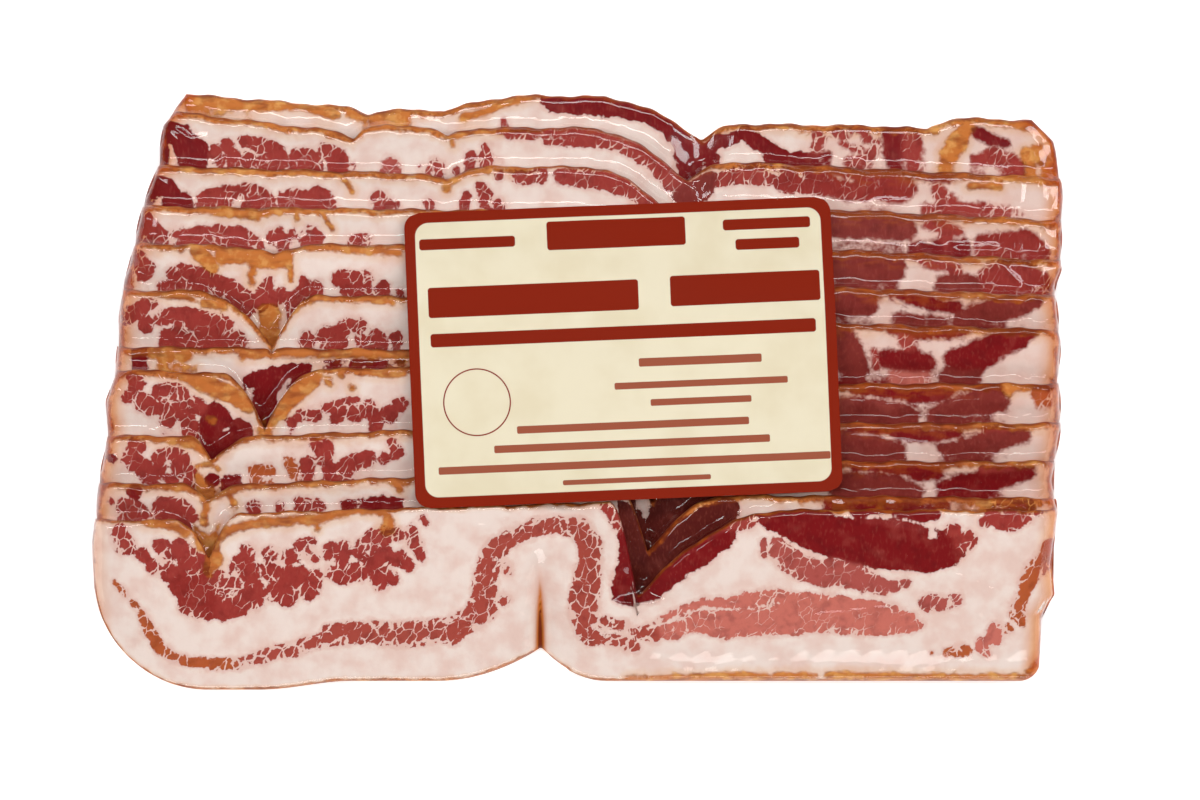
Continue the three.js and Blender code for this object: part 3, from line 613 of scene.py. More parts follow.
def add_grid(name, columns, rows):
    """A new grid object, and the column and row of each of its vertices."""
    deselect_all()
    bpy.ops.mesh.primitive_grid_add(x_subdivisions=columns, y_subdivisions=rows, size=1)
    piece = bpy.context.object
    piece.name = name
    piece.data.name = name
    places = np.zeros(len(piece.data.vertices) * 3)
    piece.data.vertices.foreach_get("co", places)
    places = places.reshape(-1, 3)
    column = np.rint((places[:, 0] + 0.5) * columns).astype(int)
    row = np.rint((places[:, 1] + 0.5) * rows).astype(int)
    return piece, column, row


def move_vertices(piece, x, y, z):
    """Places the vertices at drawing coordinates in mm."""
    shifted = [x + DRAWING_SHIFT[0], y + DRAWING_SHIFT[1], z]
    places = np.stack(shifted, axis=1) * MM
    piece.data.vertices.foreach_set("co", places.ravel())
    piece.data.update()


def store(piece, name, values):
    """Keeps a number, or a colour of four numbers, for each vertex, for the material to read."""
    is_colour = values.ndim == 2
    kind = "FLOAT_COLOR" if is_colour else "FLOAT"
    layer = piece.data.attributes.new(name, kind, "POINT")
    if is_colour:
        layer.data.foreach_set("color", values.astype(np.float32).ravel())
    else:
        layer.data.foreach_set("value", values.astype(np.float32))


def close_tube(piece):
    """Welds the seam of a tube, fills its ends and turns its faces outwards."""
    bpy.ops.object.mode_set(mode="EDIT")
    bpy.ops.mesh.select_all(action="SELECT")
    bpy.ops.mesh.remove_doubles(threshold=0.01 * MM)
    bpy.ops.mesh.select_all(action="DESELECT")
    bpy.ops.mesh.select_non_manifold()
    bpy.ops.mesh.fill_holes(sides=0)
    bpy.ops.mesh.select_all(action="SELECT")
    bpy.ops.mesh.normals_make_consistent(inside=False)
    bpy.ops.object.mode_set(mode="OBJECT")
    bpy.ops.object.shade_smooth()
    return piece


# %% Rows round a slice
EDGE_ROUND = 1.7
STRIP_PITCH = 0.6
HIDDEN_ROWS = 8
UNDER_ROWS = 28
ARC_STEPS = 5
# The close rows run on this far under the next slice.
UNDER_NEXT = 3.0


def slice_rows(strip_rows, has_hidden):
    """Each row as shares of the rear, front and cover edges, an offset in y, and its side.

    The side runs from 1 on the slice's top to -1 on its underside.
    """
    angles = np.radians(np.linspace(0, 90, ARC_STEPS + 1))
    r = EDGE_ROUND
    rows = [(1, 0, 0, r * (math.cos(a) - 1), math.sin(a)) for a in angles]
    if has_hidden:
        for f in np.linspace(0, 1, strip_rows + 1)[1:]:
            rows.append((1 - f, 0, f, -r * (1 - f), 1))
        for f in np.linspace(0, 1, HIDDEN_ROWS + 1)[1:]:
            rows.append((0, f, 1 - f, r * f, 1))
    else:
        for f in np.linspace(0, 1, strip_rows + 1)[1:]:
            rows.append((1 - f, f, 0, r * (2 * f - 1), 1))
    for a in angles[::-1][1:]:
        rows.append((0, 1, 0, r * (1 - math.cos(a)), math.sin(a)))
    for a in angles[1:]:
        rows.append((0, 1, 0, r * (1 - math.cos(a)), -math.sin(a)))
    for f in np.linspace(0, 1, UNDER_ROWS + 1)[1:]:
        rows.append((f, 1 - f, 0, r * (1 - 2 * f), -1))
    for a in angles[::-1][1:]:
        rows.append((1, 0, 0, r * (math.cos(a) - 1), -math.sin(a)))
    return np.array(rows)


def stations(pitch):
    """Places along the pack, closer together at its two rounded ends."""
    count = round(2 * HALF_LENGTH / pitch)
    ends = np.array([0, 0.12, 0.35, 0.7, 1.15, 1.7])
    inner = np.linspace(-HALF_LENGTH + 2.4, HALF_LENGTH - 2.4, count)
    return np.concatenate([-HALF_LENGTH + ends, inner, (HALF_LENGTH - ends)[::-1]])


def widen(nominal, row_y):
    """Stretches rows so that they end on the pack's sides. row_y gives y for given x."""
    share = (nominal + HALF_LENGTH) / (2 * HALF_LENGTH)
    x = nominal
    for _ in range(3):
        y = row_y(x)
        x = mix(along(LEFT_SIDE, y), along(RIGHT_SIDE, y), share)
    return x, row_y(x)


# %% How a slice lies in the pack
# The slices end this far inside the drawn edges, so that the film has room.
SLICE_INSET = 0.2
# Each slice's end bulges out. The bulge's height, where it begins, and half its width on the front
# slice and on the others' strips.
END_BULGE = 0.7
BULGE_START = 12
BULGE_FRONT = 22
BULGE_STRIP = 5.5


def middle_of_shown(k, x):
    """The middle of what shows of slice k, between its rear edge and the next slice's."""
    below = front_edge(k, x) if k == FRONT else rear_edge(k + 1, x)
    return (rear_edge(k, x) + below) / 2


def place_slice(k, nominal, shares):
    """The x and y of a slice's vertices, and the middle of what shows of it there."""
    of_rear, of_front, of_cover, offset = shares

    def row_y(x):
        rear = rear_edge(k, x) - SLICE_INSET
        front = front_edge(k, x) + SLICE_INSET
        cover = rear
        if k < FRONT:
            cover = np.maximum(rear_edge(k + 1, x) - UNDER_NEXT, front + 4)
        cover = np.minimum(cover, rear - 2 * EDGE_ROUND)
        return of_rear * rear + of_front * front + of_cover * cover + offset

    x, y = widen(nominal, row_y)
    x = x - np.sign(nominal) * SLICE_INSET
    middle = middle_of_shown(k, x)
    half = BULGE_FRONT if k == FRONT else BULGE_STRIP
    bulge = np.clip(1 - ((y - middle) / half) ** 2, 0, 1)
    bulge = bulge * smoothstep(BULGE_START, 0, HALF_LENGTH - abs(nominal))
    return x + np.sign(nominal) * END_BULGE * bulge, y, middle


# %% Height of a slice's surface
# Smoked fat swells a little, and lean dries and sinks.
SMOKE_RISE = 0.25
LEAN_SINK = 0.12
# A slice's thickness at its very end, as a share of its full one.
LEAST_END = 0.06


def slice_height(k, x, y, side, from_end, lean, smoke):
    half = SLICE_THICKNESS / 2 * np.maximum(quarter_round(from_end, EDGE_ROUND), LEAST_END)
    relief = SMOKE_RISE * smoothstep(-0.6, 1, smoke) - LEAN_SINK * smoothstep(-0.3, 0.4, lean)
    relief += 0.05 * np.sin(1.9 * x + 0.7 * y + k) * np.sin(1.3 * y - 0.8 * x)
    middle = SLICE_THICKNESS * (layers_under(k, x, y) + 0.5)
    z = middle + side * half + relief * np.clip(side, 0, 1) * smoothstep(0, 2, from_end)
    return settle(x, y, z, from_end)


# %% Where the smoke lies on a slice
# How far the smoke reaches in from an edge, in mm.
RIM_FRONT = 0.9
RIM_LEFT = 1.9
RIM_RIGHT = 2.1
RIM_MIDDLE = 0.8
# How much browner the front slice's rear rim is than the rear slice's.
FRONT_BROWN = 0.4


def thin_rim(k, x):
    """1 where the rear three slices curve down to the middle notch, with a thin dark rim."""
    return smoothstep(-14, -6, x) * smoothstep(36, 29, x) * (k < 3)


def rim_reach(k, x):
    reach = RIM_FRONT
    if k < FRONT:
        reach = mix(RIM_LEFT, RIM_RIGHT, smoothstep(40, 60, x))
    return mix(reach, RIM_MIDDLE, thin_rim(k, x))


def brown_share(k, x, is_rear):
    """How brown the smoke is: on the right, by the middle notch, and at the front's rear rims."""
    right = smoothstep(56, 61, x) * smoothstep(100, 88, x) * (0 < k < FRONT)
    aged = FRONT_BROWN * k / FRONT * is_rear * smoothstep(10, 0, x)
    return np.maximum(np.maximum(right, thin_rim(k, x)), aged)


def tan_share(k, x, from_end):
    """How tanned the meat is near the pack's two ends."""
    is_right = x > 0
    reach, share = 6.5, 0.95
    if k == FRONT:
        reach = np.where(is_right, 5.5, 5)
        share = np.where(is_right, 1, 0.5)
    return share * smoothstep(reach, 0.5, from_end)


def crease_share(k, x, y):
    """1 in the front slice's pressed crease, and fading beside it."""
    crease_at = middle_notch(FRONT) + CREASE_OFFSET
    down = smoothstep(CREASE_TOP, CREASE_TOP - 22, y)
    return (k == FRONT) * np.exp(-abs(x - crease_at) / 0.9) * down


# %% Make the slices
FRONT_ROWS = 70
STRIP_ROWS = 26


def model_slice(k):
    rows = slice_rows(FRONT_ROWS if k == FRONT else STRIP_ROWS, k < FRONT)
    nominal = stations(STRIP_PITCH)
    piece, column, row = add_grid(f"slice_{NAMES[k]}", len(nominal) - 1, len(rows) - 1)
    *shares, side = rows[row].T
    x, y, middle = place_slice(k, nominal[column], shares)
    from_end = HALF_LENGTH - abs(nominal[column])
    lean, smoke, tone = paint_slice(k, x, y)
    move_vertices(piece, x, y, slice_height(k, x, y, side, from_end, lean, smoke))
    rim = np.minimum(rear_edge(k, x) - y, y - front_edge(k, x))
    store(piece, "lean_depth", lean)
    store(piece, "smoke_depth", smoke)
    store(piece, "lean_tone", tone)
    store(piece, "rim", np.minimum(rim, from_end + 0.3) / rim_reach(k, x))
    store(piece, "rim_brown", brown_share(k, x, y > middle))
    store(piece, "flush", smoothstep(52, 64, x) * (k < FRONT))
    store(piece, "crease", crease_share(k, x, y))
    store(piece, "end_tan", tan_share(k, x, from_end))
    return close_tube(piece)


slices = [model_slice(k) for k in range(len(SLICES))]
print("faces of each slice:", [len(piece.data.polygons) for piece in slices])

# %% [markdown]
# ## The film
#
# Vacuum draws the film on to the meat, but it can't bend sharply into a step, so it rounds each one.
# A cloth simulation could press a sheet on the stack, but its cells would have to be much smaller
# than a step. A ball that rolls over the stack rounds the steps in the same way. So the stack's
# height is taken on a fine grid, and from it the lowest surface that such a ball can roll on.

# %% Height of the stack on a grid
GRID_STEP = 0.6
FILM_RADIUS = 1.3
FILM_GAP = 0.14

grid_x = np.arange(-118, 118.1, GRID_STEP)
grid_y = np.arange(-76, 76.1, GRID_STEP)
field_x, field_y = np.meshgrid(grid_x, grid_y)
field_share = (field_x - along(LEFT_SIDE, field_y)) / (
    along(RIGHT_SIDE, field_y) - along(LEFT_SIDE, field_y))
field_end = HALF_LENGTH - abs(mix(-HALF_LENGTH, HALF_LENGTH, field_share))


def stack_height():
    """The top of the slices, as the highest of them at each point of the grid."""
    top = np.zeros_like(field_x)
    for k in range(len(SLICES)):
        rear = rear_edge(k, field_x) - SLICE_INSET
        front = front_edge(k, field_x) + SLICE_INSET
        inside = (field_y < rear) & (field_y > front)
        from_edge = np.minimum(rear - field_y, field_y - front)
        height = 0.5 + 0.5 * quarter_round(from_edge, EDGE_ROUND)
        height = SLICE_THICKNESS * (layers_under(k, field_x, field_y) + height)
        top = np.where(inside, np.maximum(top, height), top)
    return settle(field_x, field_y, top, np.maximum(field_end, 0))


def shifted(field, down, right, fill):
    """A copy of the field moved by whole steps."""
    moved = np.full_like(field, fill)
    rows, columns = field.shape
    moved[max(down, 0):rows + min(down, 0), max(right, 0):columns + min(right, 0)] = field[
        max(-down, 0):rows + min(-down, 0), max(-right, 0):columns + min(-right, 0)]
    return moved


def roll_ball(field, radius):
    """Fills the field's sharp hollows with a ball's surface."""
    steps = int(1.2 * radius / GRID_STEP) + 1
    offsets = [(i, j) for i in range(-steps, steps + 1) for j in range(-steps, steps + 1)]
    drops = {(i, j): (i * i + j * j) * GRID_STEP ** 2 / (2 * radius) for i, j in offsets}
    raised = np.max([shifted(field, i, j, 0) - drops[i, j] for i, j in offsets], axis=0)
    return np.min([shifted(raised, i, j, 99) + drops[i, j] for i, j in offsets], axis=0)


# %% Folds of the film
# Strokes like those of the lean, where the film pulled between two lobes or off the pack's ends.
FILM_FOLDS = """
68,51.4 76,51.4,.3; 70,45.5 78,45.5,.3; 65,42.2 77,42.2,.3; 84,40.9 93,40.9,.3; 88,34.8 99,34.6,.3;
90,30.5 101,30.2,.3; 66,16 80,14 92,15,.3; 64,-1 78,-2.4 96,-.6,.3; 63,-9 82,-11,.3; 84,-17 104,-15,.3;
-95,62.5 -91,60 -88,61,.3; -88,4 -84,2.5,.3; -62,5 -57,3.4,.3; -108,31 -100,26,.3; -110,20 -103,15,.3;
-111,2 -101,-5,.3; -112,-14 -101,-20,.3; 22,56 27,49,.4 29,44,.3; 33,56 29,50,.3; 12,-30 15,-40,.4
14,-46,.3; 20,-33 16,-44,.3; -74,-5 -76,-13,.4; -73,22 -74,12,.4; -88,-18 -87,-34,.4; 56,-52 75,-50,.3;
84,-40 98,-46,.3; 96,-30 104,-42,.3; 100,30 110,20,.3; 104,8 112,-4,.3; 103,-16 112,-26,.3; 45,62
60,62.5,.3; 109,60 110,46,.35; 110.5,42 109.5,26 110.5,12,.35; 110,6 111,-8,.35; 110.5,-12 109,-26
110,-36,.35; 105,52 104,34,.3; 106,22 105,4,.3; 106,-6 104.5,-22,.3; 13,-32 12.2,-42,.4; 24,-30
18,-42,.35; 27.5,62 28,50,.4; -101,58 -98,52,.35; -104,46 -101,41,.35; -106,36 -103,31,.35"""
FOLD_HEIGHT = 0.45
RIPPLE = 0.08

fold_depth, _ = painted(read_strokes(FILM_FOLDS), field_x, field_y)
film_field = roll_ball(stack_height(), FILM_RADIUS) + FILM_GAP
film_field += FOLD_HEIGHT * smoothstep(-0.7, 0.2, fold_depth)
wobble = 1.3 * np.sin(field_y * 0.35)
film_field += RIPPLE * np.sin(field_x * 1.1 + wobble) * np.sin(field_y * 0.8)
print("highest point of the film in mm:", round(float(film_field.max()), 2))


def sample(field, x, y):
    """The field's value between the points of its grid."""
    column = np.clip((x - grid_x[0]) / GRID_STEP, 0, len(grid_x) - 1.001)
    row = np.clip((y - grid_y[0]) / GRID_STEP, 0, len(grid_y) - 1.001)
    c, r = column.astype(int), row.astype(int)
    u, v = column - c, row - r
    low = mix(field[r, c], field[r, c + 1], u)
    high = mix(field[r + 1, c], field[r + 1, c + 1], u)
    return mix(low, high, v)


# %% Rows round the film
FILM_EDGE = 2.4
FILM_OUT = 0.25
FILM_PITCH = 0.72
FILM_ROWS = 190
FILM_UNDER_ROWS = 56
FILM_ARC_STEPS = 6


def film_rows():
    """Each row as a share of the way from the rear edge to the front one, an offset, and its side."""
    angles = np.radians(np.linspace(0, 90, FILM_ARC_STEPS + 1))
    r = FILM_EDGE
    rows = [(0, r * (math.cos(a) - 1), math.sin(a)) for a in angles]
    rows += [(f, r * (2 * f - 1), 1) for f in np.linspace(0, 1, FILM_ROWS + 1)[1:]]
    rows += [(1, r * (1 - math.cos(a)), math.sin(a)) for a in angles[::-1][1:]]
    rows += [(1, r * (1 - math.cos(a)), -math.sin(a)) for a in angles[1:]]
    rows += [(1 - f, r * (1 - 2 * f), -1) for f in np.linspace(0, 1, FILM_UNDER_ROWS + 1)[1:]]
    rows += [(0, r * (math.cos(a) - 1), -math.sin(a)) for a in angles[::-1][1:]]
    return np.array(rows)


# %% Height of the film
# The film's height at its two ends is taken this far in, where the grid still has meat.
TAKEN_IN = 1.2
FILM_END_ROUND = 1.7
LEAST_FILM_END = 0.08


def film_height(x, y, side, from_end):
    """The rolled surface above and the table below, which meet in a seam at half a slice's height."""
    rear = rear_edge(0, x) + FILM_OUT
    front = front_edge(FRONT, x) - FILM_OUT
    inner_y = np.clip(y, front + FILM_EDGE, rear - FILM_EDGE)
    seam = 0.5 * SLICE_THICKNESS * end_squeeze(from_end)
    top = sample(film_field, x * (1 - TAKEN_IN / HALF_LENGTH), inner_y)
    end = np.maximum(quarter_round(from_end, FILM_END_ROUND), LEAST_FILM_END)
    over = seam + (top - seam) * np.clip(side, 0, 1) * end
    under = seam * (1 + np.clip(side, -1, 0) * end)
    return np.where(side >= 0, over, under)


# %% Model the film
# How far the film reaches past the slices' ends above, and how much less it does below, where it is
# drawn in under them.
FILM_LONGER = 0.8
DRAWN_IN = 0.6


def model_film():
    """One closed skin: over the stack from the rear edge to the front one, and back underneath."""
    rows = film_rows()
    nominal = stations(FILM_PITCH)
    piece, column, row = add_grid("clear_film", len(nominal) - 1, len(rows) - 1)
    share, offset, side = rows[row].T

    def row_y(x):
        rear = rear_edge(0, x) + FILM_OUT
        front = front_edge(FRONT, x) - FILM_OUT
        return mix(rear, front, share) + offset

    from_end = HALF_LENGTH - abs(nominal[column])
    x, y = widen(nominal[column], row_y)
    x = x * (1 + FILM_LONGER / HALF_LENGTH)
    below = np.clip(-side, 0, 1) * smoothstep(BULGE_START, 0, from_end)
    x = x - np.sign(nominal[column]) * DRAWN_IN * below
    move_vertices(piece, x, y, film_height(x, y, side, from_end))
    return close_tube(piece)


film = model_film()
print("faces of the film:", len(film.data.polygons))

# %% [markdown]
# ## The label
#
# The label is stiff paper stuck on the film, so it bridges the slices' steps. Its width is that of
# a common roll label, 4 inches. Cloth could be dropped on the film, but paper hardly stretches, so a
# much larger ball rolled over the film gives its form with less work. A fine grid takes the label's
# rounded outline and that height, and Solidify gives the paper its thickness.

# %% Bridge over the film
BRIDGE_RADIUS = 110
BRIDGE_STEPS = 28
BLUR_STEPS = 7


def bridge(field):
    """The surface on which a large ball rolls, one direction after the other, then a blur."""
    steps = range(-BRIDGE_STEPS, BRIDGE_STEPS + 1)
    drops = [(s * GRID_STEP) ** 2 / (2 * BRIDGE_RADIUS) for s in steps]
    for axis in (0, 1):
        field = np.max([np.roll(field, s, axis) - drop for s, drop in zip(steps, drops)], axis=0)
    for axis in (0, 1):
        field = np.min([np.roll(field, s, axis) + drop for s, drop in zip(steps, drops)], axis=0)
    for axis in (0, 0, 1, 1):
        near = [np.roll(field, s, axis) for s in range(-BLUR_STEPS, BLUR_STEPS + 1)]
        field = np.mean(near, axis=0)
    return field


# %% Model the label
LABEL_WIDTH = 101.6
LABEL_HEIGHT = 70.2
LABEL_CORNER = 3.6
LABEL_THICKNESS = 0.3
LABEL_CENTRE = (11, 9.4)
LABEL_TURN = math.radians(2.4)
LABEL_GAP = 0.12
LABEL_COLUMNS = 136
LABEL_ROWS = 94


def model_label():
    piece, column, row = add_grid("paper_label", LABEL_COLUMNS, LABEL_ROWS)
    u = (column / LABEL_COLUMNS - 0.5) * LABEL_WIDTH
    v = (row / LABEL_ROWS - 0.5) * LABEL_HEIGHT
    over = np.maximum(abs(v) - (LABEL_HEIGHT / 2 - LABEL_CORNER), 0)
    u = u * (1 - arc_rise(over, LABEL_CORNER) / (LABEL_WIDTH / 2))
    x = LABEL_CENTRE[0] + u * math.cos(LABEL_TURN) - v * math.sin(LABEL_TURN)
    y = LABEL_CENTRE[1] + u * math.sin(LABEL_TURN) + v * math.cos(LABEL_TURN)
    bridged = sample(bridge(film_field), x, y)
    short = sample(film_field, x, y) - bridged
    move_vertices(piece, x, y, bridged + max(float(short.max()), 0) + LABEL_GAP)
    store(piece, "label_u", u)
    store(piece, "label_v", v)
    solidify = piece.modifiers.new("Solidify", "SOLIDIFY")
    solidify.thickness = LABEL_THICKNESS * MM
    solidify.offset = 1
    bpy.ops.object.modifier_apply(modifier=solidify.name)
    bpy.ops.object.shade_smooth_by_angle(angle=math.radians(40))
    return piece


label = model_label()
print("faces of the label:", len(label.data.polygons))

# %% [markdown]
# ## Materials
#
# A material is a net of nodes. One helper adds a node with its settings and links. Every pattern is
# in millimetres, on Object coordinates or on the numbers that were stored on the vertices.

# %% A helper for nodes


def start_material(name):
    material = bpy.data.materials.new(name)
    material.use_nodes = True
    material.node_tree.nodes.clear()
    return material


def add_node(owner, kind, inputs=(), out=None, **settings):
    """Adds a node and gives its first output in use, or the named one.

    The inputs come in the order of the sockets in use, or by name in a dictionary. Each is a value
    or another node's output.
    """
    node = owner.node_tree.nodes.new("ShaderNode" + kind)
    for setting, value in settings.items():
        setattr(node, setting, value)
    if isinstance(inputs, dict):
        pairs = [(node.inputs[name], value) for name, value in inputs.items()]
    else:
        pairs = zip([socket for socket in node.inputs if socket.enabled], inputs)
    for socket, value in pairs:
        if isinstance(value, bpy.types.NodeSocket):
            owner.node_tree.links.new(value, socket)
        else:
            socket.default_value = value
    if out:
        return node.outputs[out]
    return next((socket for socket in node.outputs if socket.enabled), None)


# Settings that come back often.
TIMES = {"operation": "MULTIPLY"}
PLUS = {"operation": "ADD"}
MINUS = {"operation": "SUBTRACT"}
SCALED = {"operation": "MULTIPLY_ADD"}
HIGHER = {"operation": "MAXIMUM"}
LOWER = {"operation": "MINIMUM"}
SMOOTH = {"interpolation_type": "SMOOTHSTEP"}
COLOURS = {"data_type": "RGBA"}

# %% [markdown]
# ## Cured pork belly
#
# Cured meat is dense and moist: dark red lean with fine fibres, parted by thin seams of fat, and
# firm white fat that cures to a pale pinkish cream. Smoke leaves the outside of the slab tan to
# brown, and each slice carries a line of it as its rim. The strokes say where each of them lies, and
# noise gives them edges as ragged as the real ones.

# %% The painted numbers and three noises
meat = start_material("cured_pork_belly")
place = add_node(meat, "TexCoord", out="Object")
lean, smoke, rim, rim_brown, flush, crease, end_tan = [
    add_node(meat, "Attribute", out="Fac", attribute_name=name)
    for name in ("lean_depth", "smoke_depth", "rim", "rim_brown", "flush", "crease", "end_tan")]
tone = add_node(meat, "Attribute", out="Color", attribute_name="lean_tone")
marbling = add_node(meat, "Attribute", out="Alpha", attribute_name="lean_tone")
coarse, fine, clouds = [
    add_node(meat, "TexNoise", {"Vector": place, "Scale": 1 / (lump_size * MM), "Detail": detail})
    for lump_size, detail in ((2.6, 3), (0.8, 2), (5.5, 3))]

# %% Outline of the lean
# It wanders by half a millimetre.
wide_wander = add_node(meat, "Math", (coarse, 2.4, -1.2), **SCALED)
narrow_wander = add_node(meat, "Math", (fine, 1.1, -0.55), **SCALED)
wander = add_node(meat, "Math", (wide_wander, narrow_wander), **PLUS)
grown = add_node(meat, "Math", (lean, 0.45), **PLUS)
depth = add_node(meat, "Math", (grown, wander), **PLUS)

# %% Bundles of lean
# A bundle of fibres is about 2 mm thick and twice as long where it is cut. Its cells lean 62 degrees
# to the slice, and noise bends them.
BUNDLE = 2.1
BUNDLE_LONGER = 2.0
BUNDLE_TURN = math.radians(62)
BEND = 1.2
BEND_SIZE = 1.8

turned = add_node(meat, "Mapping", {
    "Vector": place, "Rotation": (0, 0, BUNDLE_TURN), "Scale": (BUNDLE_LONGER, 1, 1)},
    vector_type="TEXTURE")
bend = add_node(meat, "TexNoise", {"Vector": place, "Scale": 1 / (BEND_SIZE * MM)}, out="Color")
bent = add_node(meat, "VectorMath", (bend, (BEND * MM,) * 3, turned), **SCALED)
bundles = add_node(meat, "TexVoronoi", {"Vector": bent, "Scale": 1 / (BUNDLE * MM)},
                   feature="DISTANCE_TO_EDGE")

# %% Seams of fat between the bundles
# They are wider near the outline of the lean, missing where the clouds are thin, and scaled by the
# tone's share.
seam_width = add_node(meat, "MapRange", (depth, 0.0, 2.0, 0.21, 0.065))
is_streak = add_node(meat, "MapRange", (marbling, 0.7, 0.8), **SMOOTH)
is_coarse = add_node(meat, "MapRange", (coarse, 0.42, 0.6), **SMOOTH)
in_streak = add_node(meat, "Math", (is_streak, is_coarse), **TIMES)
in_cloud = add_node(meat, "MapRange", (clouds, 0.4, 0.57), **SMOOTH)
has_seams = add_node(meat, "Math", (in_cloud, in_streak), **HIGHER)
seam_width = add_node(meat, "Math", (seam_width, has_seams), **TIMES)
seam_width = add_node(meat, "Math", (seam_width, marbling), **TIMES)
past_seam = add_node(meat, "Math", (bundles, seam_width), **MINUS)
in_bundle = add_node(meat, "MapRange", (past_seam, -0.05, 0.0), **SMOOTH)

# %% Where there is lean
# On the right, where the rear slices are flushed with juice, its outline is softer.
soft_low = add_node(meat, "Math", (flush, -0.6, -0.1), **SCALED)
soft_high = add_node(meat, "Math", (flush, 0.3, 0.25), **SCALED)
in_outline = add_node(meat, "MapRange", (depth, soft_low, soft_high), **SMOOTH)
is_lean = add_node(meat, "Math", (in_outline, in_bundle), **TIMES)

# %% Colour of the lean
# Its painted tone, darker in blotches and paler along some fibres.
LEAN_DARK = linear("#4A090D")
LEAN_PALE = linear("#B85E50")
FIBRE = 0.6
FIBRE_TURN = math.radians(20)

along_fibres = add_node(meat, "Mapping", {
    "Vector": place, "Rotation": (0, 0, FIBRE_TURN), "Scale": (1, 0.3, 1)})
fibres = add_node(meat, "TexNoise", {"Vector": along_fibres, "Scale": 1 / (FIBRE * MM), "Detail": 1})
blotches = add_node(meat, "MapRange", (coarse, 0.45, 0.75, 0, 0.3), **SMOOTH)
lean_colour = add_node(meat, "Mix", (blotches, tone, LEAN_DARK), **COLOURS)
pale_fibres = add_node(meat, "MapRange", (fibres, 0.5, 0.8, 0, 0.16), **SMOOTH)
pale_clouds = add_node(meat, "MapRange", (clouds, 0.52, 0.75, 0, 0.2), **SMOOTH)
pale = add_node(meat, "Math", (pale_fibres, pale_clouds), **PLUS)
lean_colour = add_node(meat, "Mix", (pale, lean_colour, LEAN_PALE), **COLOURS)

# %% Colour of the fat
# Cream, with pinkish clouds and a little shade near the lean and where it is flushed.
FAT_LIGHT = linear("#F2DFD5")
FAT_PINK = linear("#EACBBF")
FAT_DEEP = linear("#DDAA9B")

is_pink = add_node(meat, "MapRange", (clouds, 0.35, 0.7), **SMOOTH)
fat_colour = add_node(meat, "Mix", (is_pink, FAT_LIGHT, FAT_PINK), **COLOURS)
near_lean = add_node(meat, "MapRange", (depth, -1.1, 0.0, 0, 0.45), **SMOOTH)
fat_colour = add_node(meat, "Mix", (near_lean, fat_colour, FAT_DEEP), **COLOURS)
flushed = add_node(meat, "Math", (flush, 0.35), **TIMES)
fat_colour = add_node(meat, "Mix", (flushed, fat_colour, FAT_DEEP), **COLOURS)
colour = add_node(meat, "Mix", (is_lean, fat_colour, lean_colour), **COLOURS)

# %% Where there is smoke
# On the painted bulges and along each slice's edges, with a wandering outline.
smoke_shift = add_node(meat, "Math", (coarse, 2.4, -1.1), **SCALED)
smoke_wander = add_node(meat, "Math", (smoke, smoke_shift), **PLUS)
rim_shift = add_node(meat, "Math", (coarse, 1.6, -0.8), **SCALED)
rim_wander = add_node(meat, "Math", (rim, rim_shift), **PLUS)
in_bulge = add_node(meat, "MapRange", (smoke_wander, -0.5, 0.4), **SMOOTH)
in_rim = add_node(meat, "MapRange", (rim_wander, 1.15, 0.6), **SMOOTH)
is_smoked = add_node(meat, "Math", (in_bulge, in_rim), **HIGHER)
is_smoked = add_node(meat, "Math", (is_smoked, 0.97), **TIMES)

# %% Colour of the smoke
# Golden tan on fat, browner in streaks along the slice, and orange to dark brown on lean.
SMOKE_TAN = linear("#C9722C")
SMOKE_PALE = linear("#DF9D52")
SMOKE_BROWN = linear("#873810")
RIM_BROWN = linear("#7A2B0E")
RIM_ORANGE = linear("#AC501A")
STREAK = 1.9

drawn_out = add_node(meat, "Mapping", {"Vector": place, "Scale": (0.4, 1, 1)})
streaks = add_node(meat, "TexNoise", {"Vector": drawn_out, "Scale": 1 / (STREAK * MM), "Detail": 2})
is_pale = add_node(meat, "MapRange", (coarse, 0.45, 0.7), **SMOOTH)
smoke_colour = add_node(meat, "Mix", (is_pale, SMOKE_TAN, SMOKE_PALE), **COLOURS)
is_brown = add_node(meat, "MapRange", (streaks, 0.48, 0.74, 0, 0.7), **SMOOTH)
smoke_colour = add_node(meat, "Mix", (is_brown, smoke_colour, SMOKE_BROWN), **COLOURS)
is_dark = add_node(meat, "MapRange", (streaks, 0.36, 0.56), **SMOOTH)
over_lean = add_node(meat, "Mix", (is_dark, RIM_ORANGE, RIM_BROWN), **COLOURS)
darker = add_node(meat, "Math", (is_lean, rim_brown), **HIGHER)
darker = add_node(meat, "Math", (darker, 0.9), **TIMES)
smoke_colour = add_node(meat, "Mix", (darker, smoke_colour, over_lean), **COLOURS)

# %% Glow beside the smoke
# Fat takes a faint golden tint beside it, which lean doesn't show.
bulge_glow = add_node(meat, "MapRange", (smoke_wander, -2.2, -0.2), **SMOOTH)
rim_glow = add_node(meat, "MapRange", (rim_wander, 2.0, 1.0), **SMOOTH)
glow = add_node(meat, "Math", (bulge_glow, rim_glow), **HIGHER)
on_fat = add_node(meat, "Math", (is_lean, -0.3, 0.3), **SCALED)
glow = add_node(meat, "Math", (glow, on_fat), **TIMES)
colour = add_node(meat, "Mix", (glow, colour, SMOKE_PALE), **COLOURS)
colour = add_node(meat, "Mix", (is_smoked, colour, smoke_colour), **COLOURS)

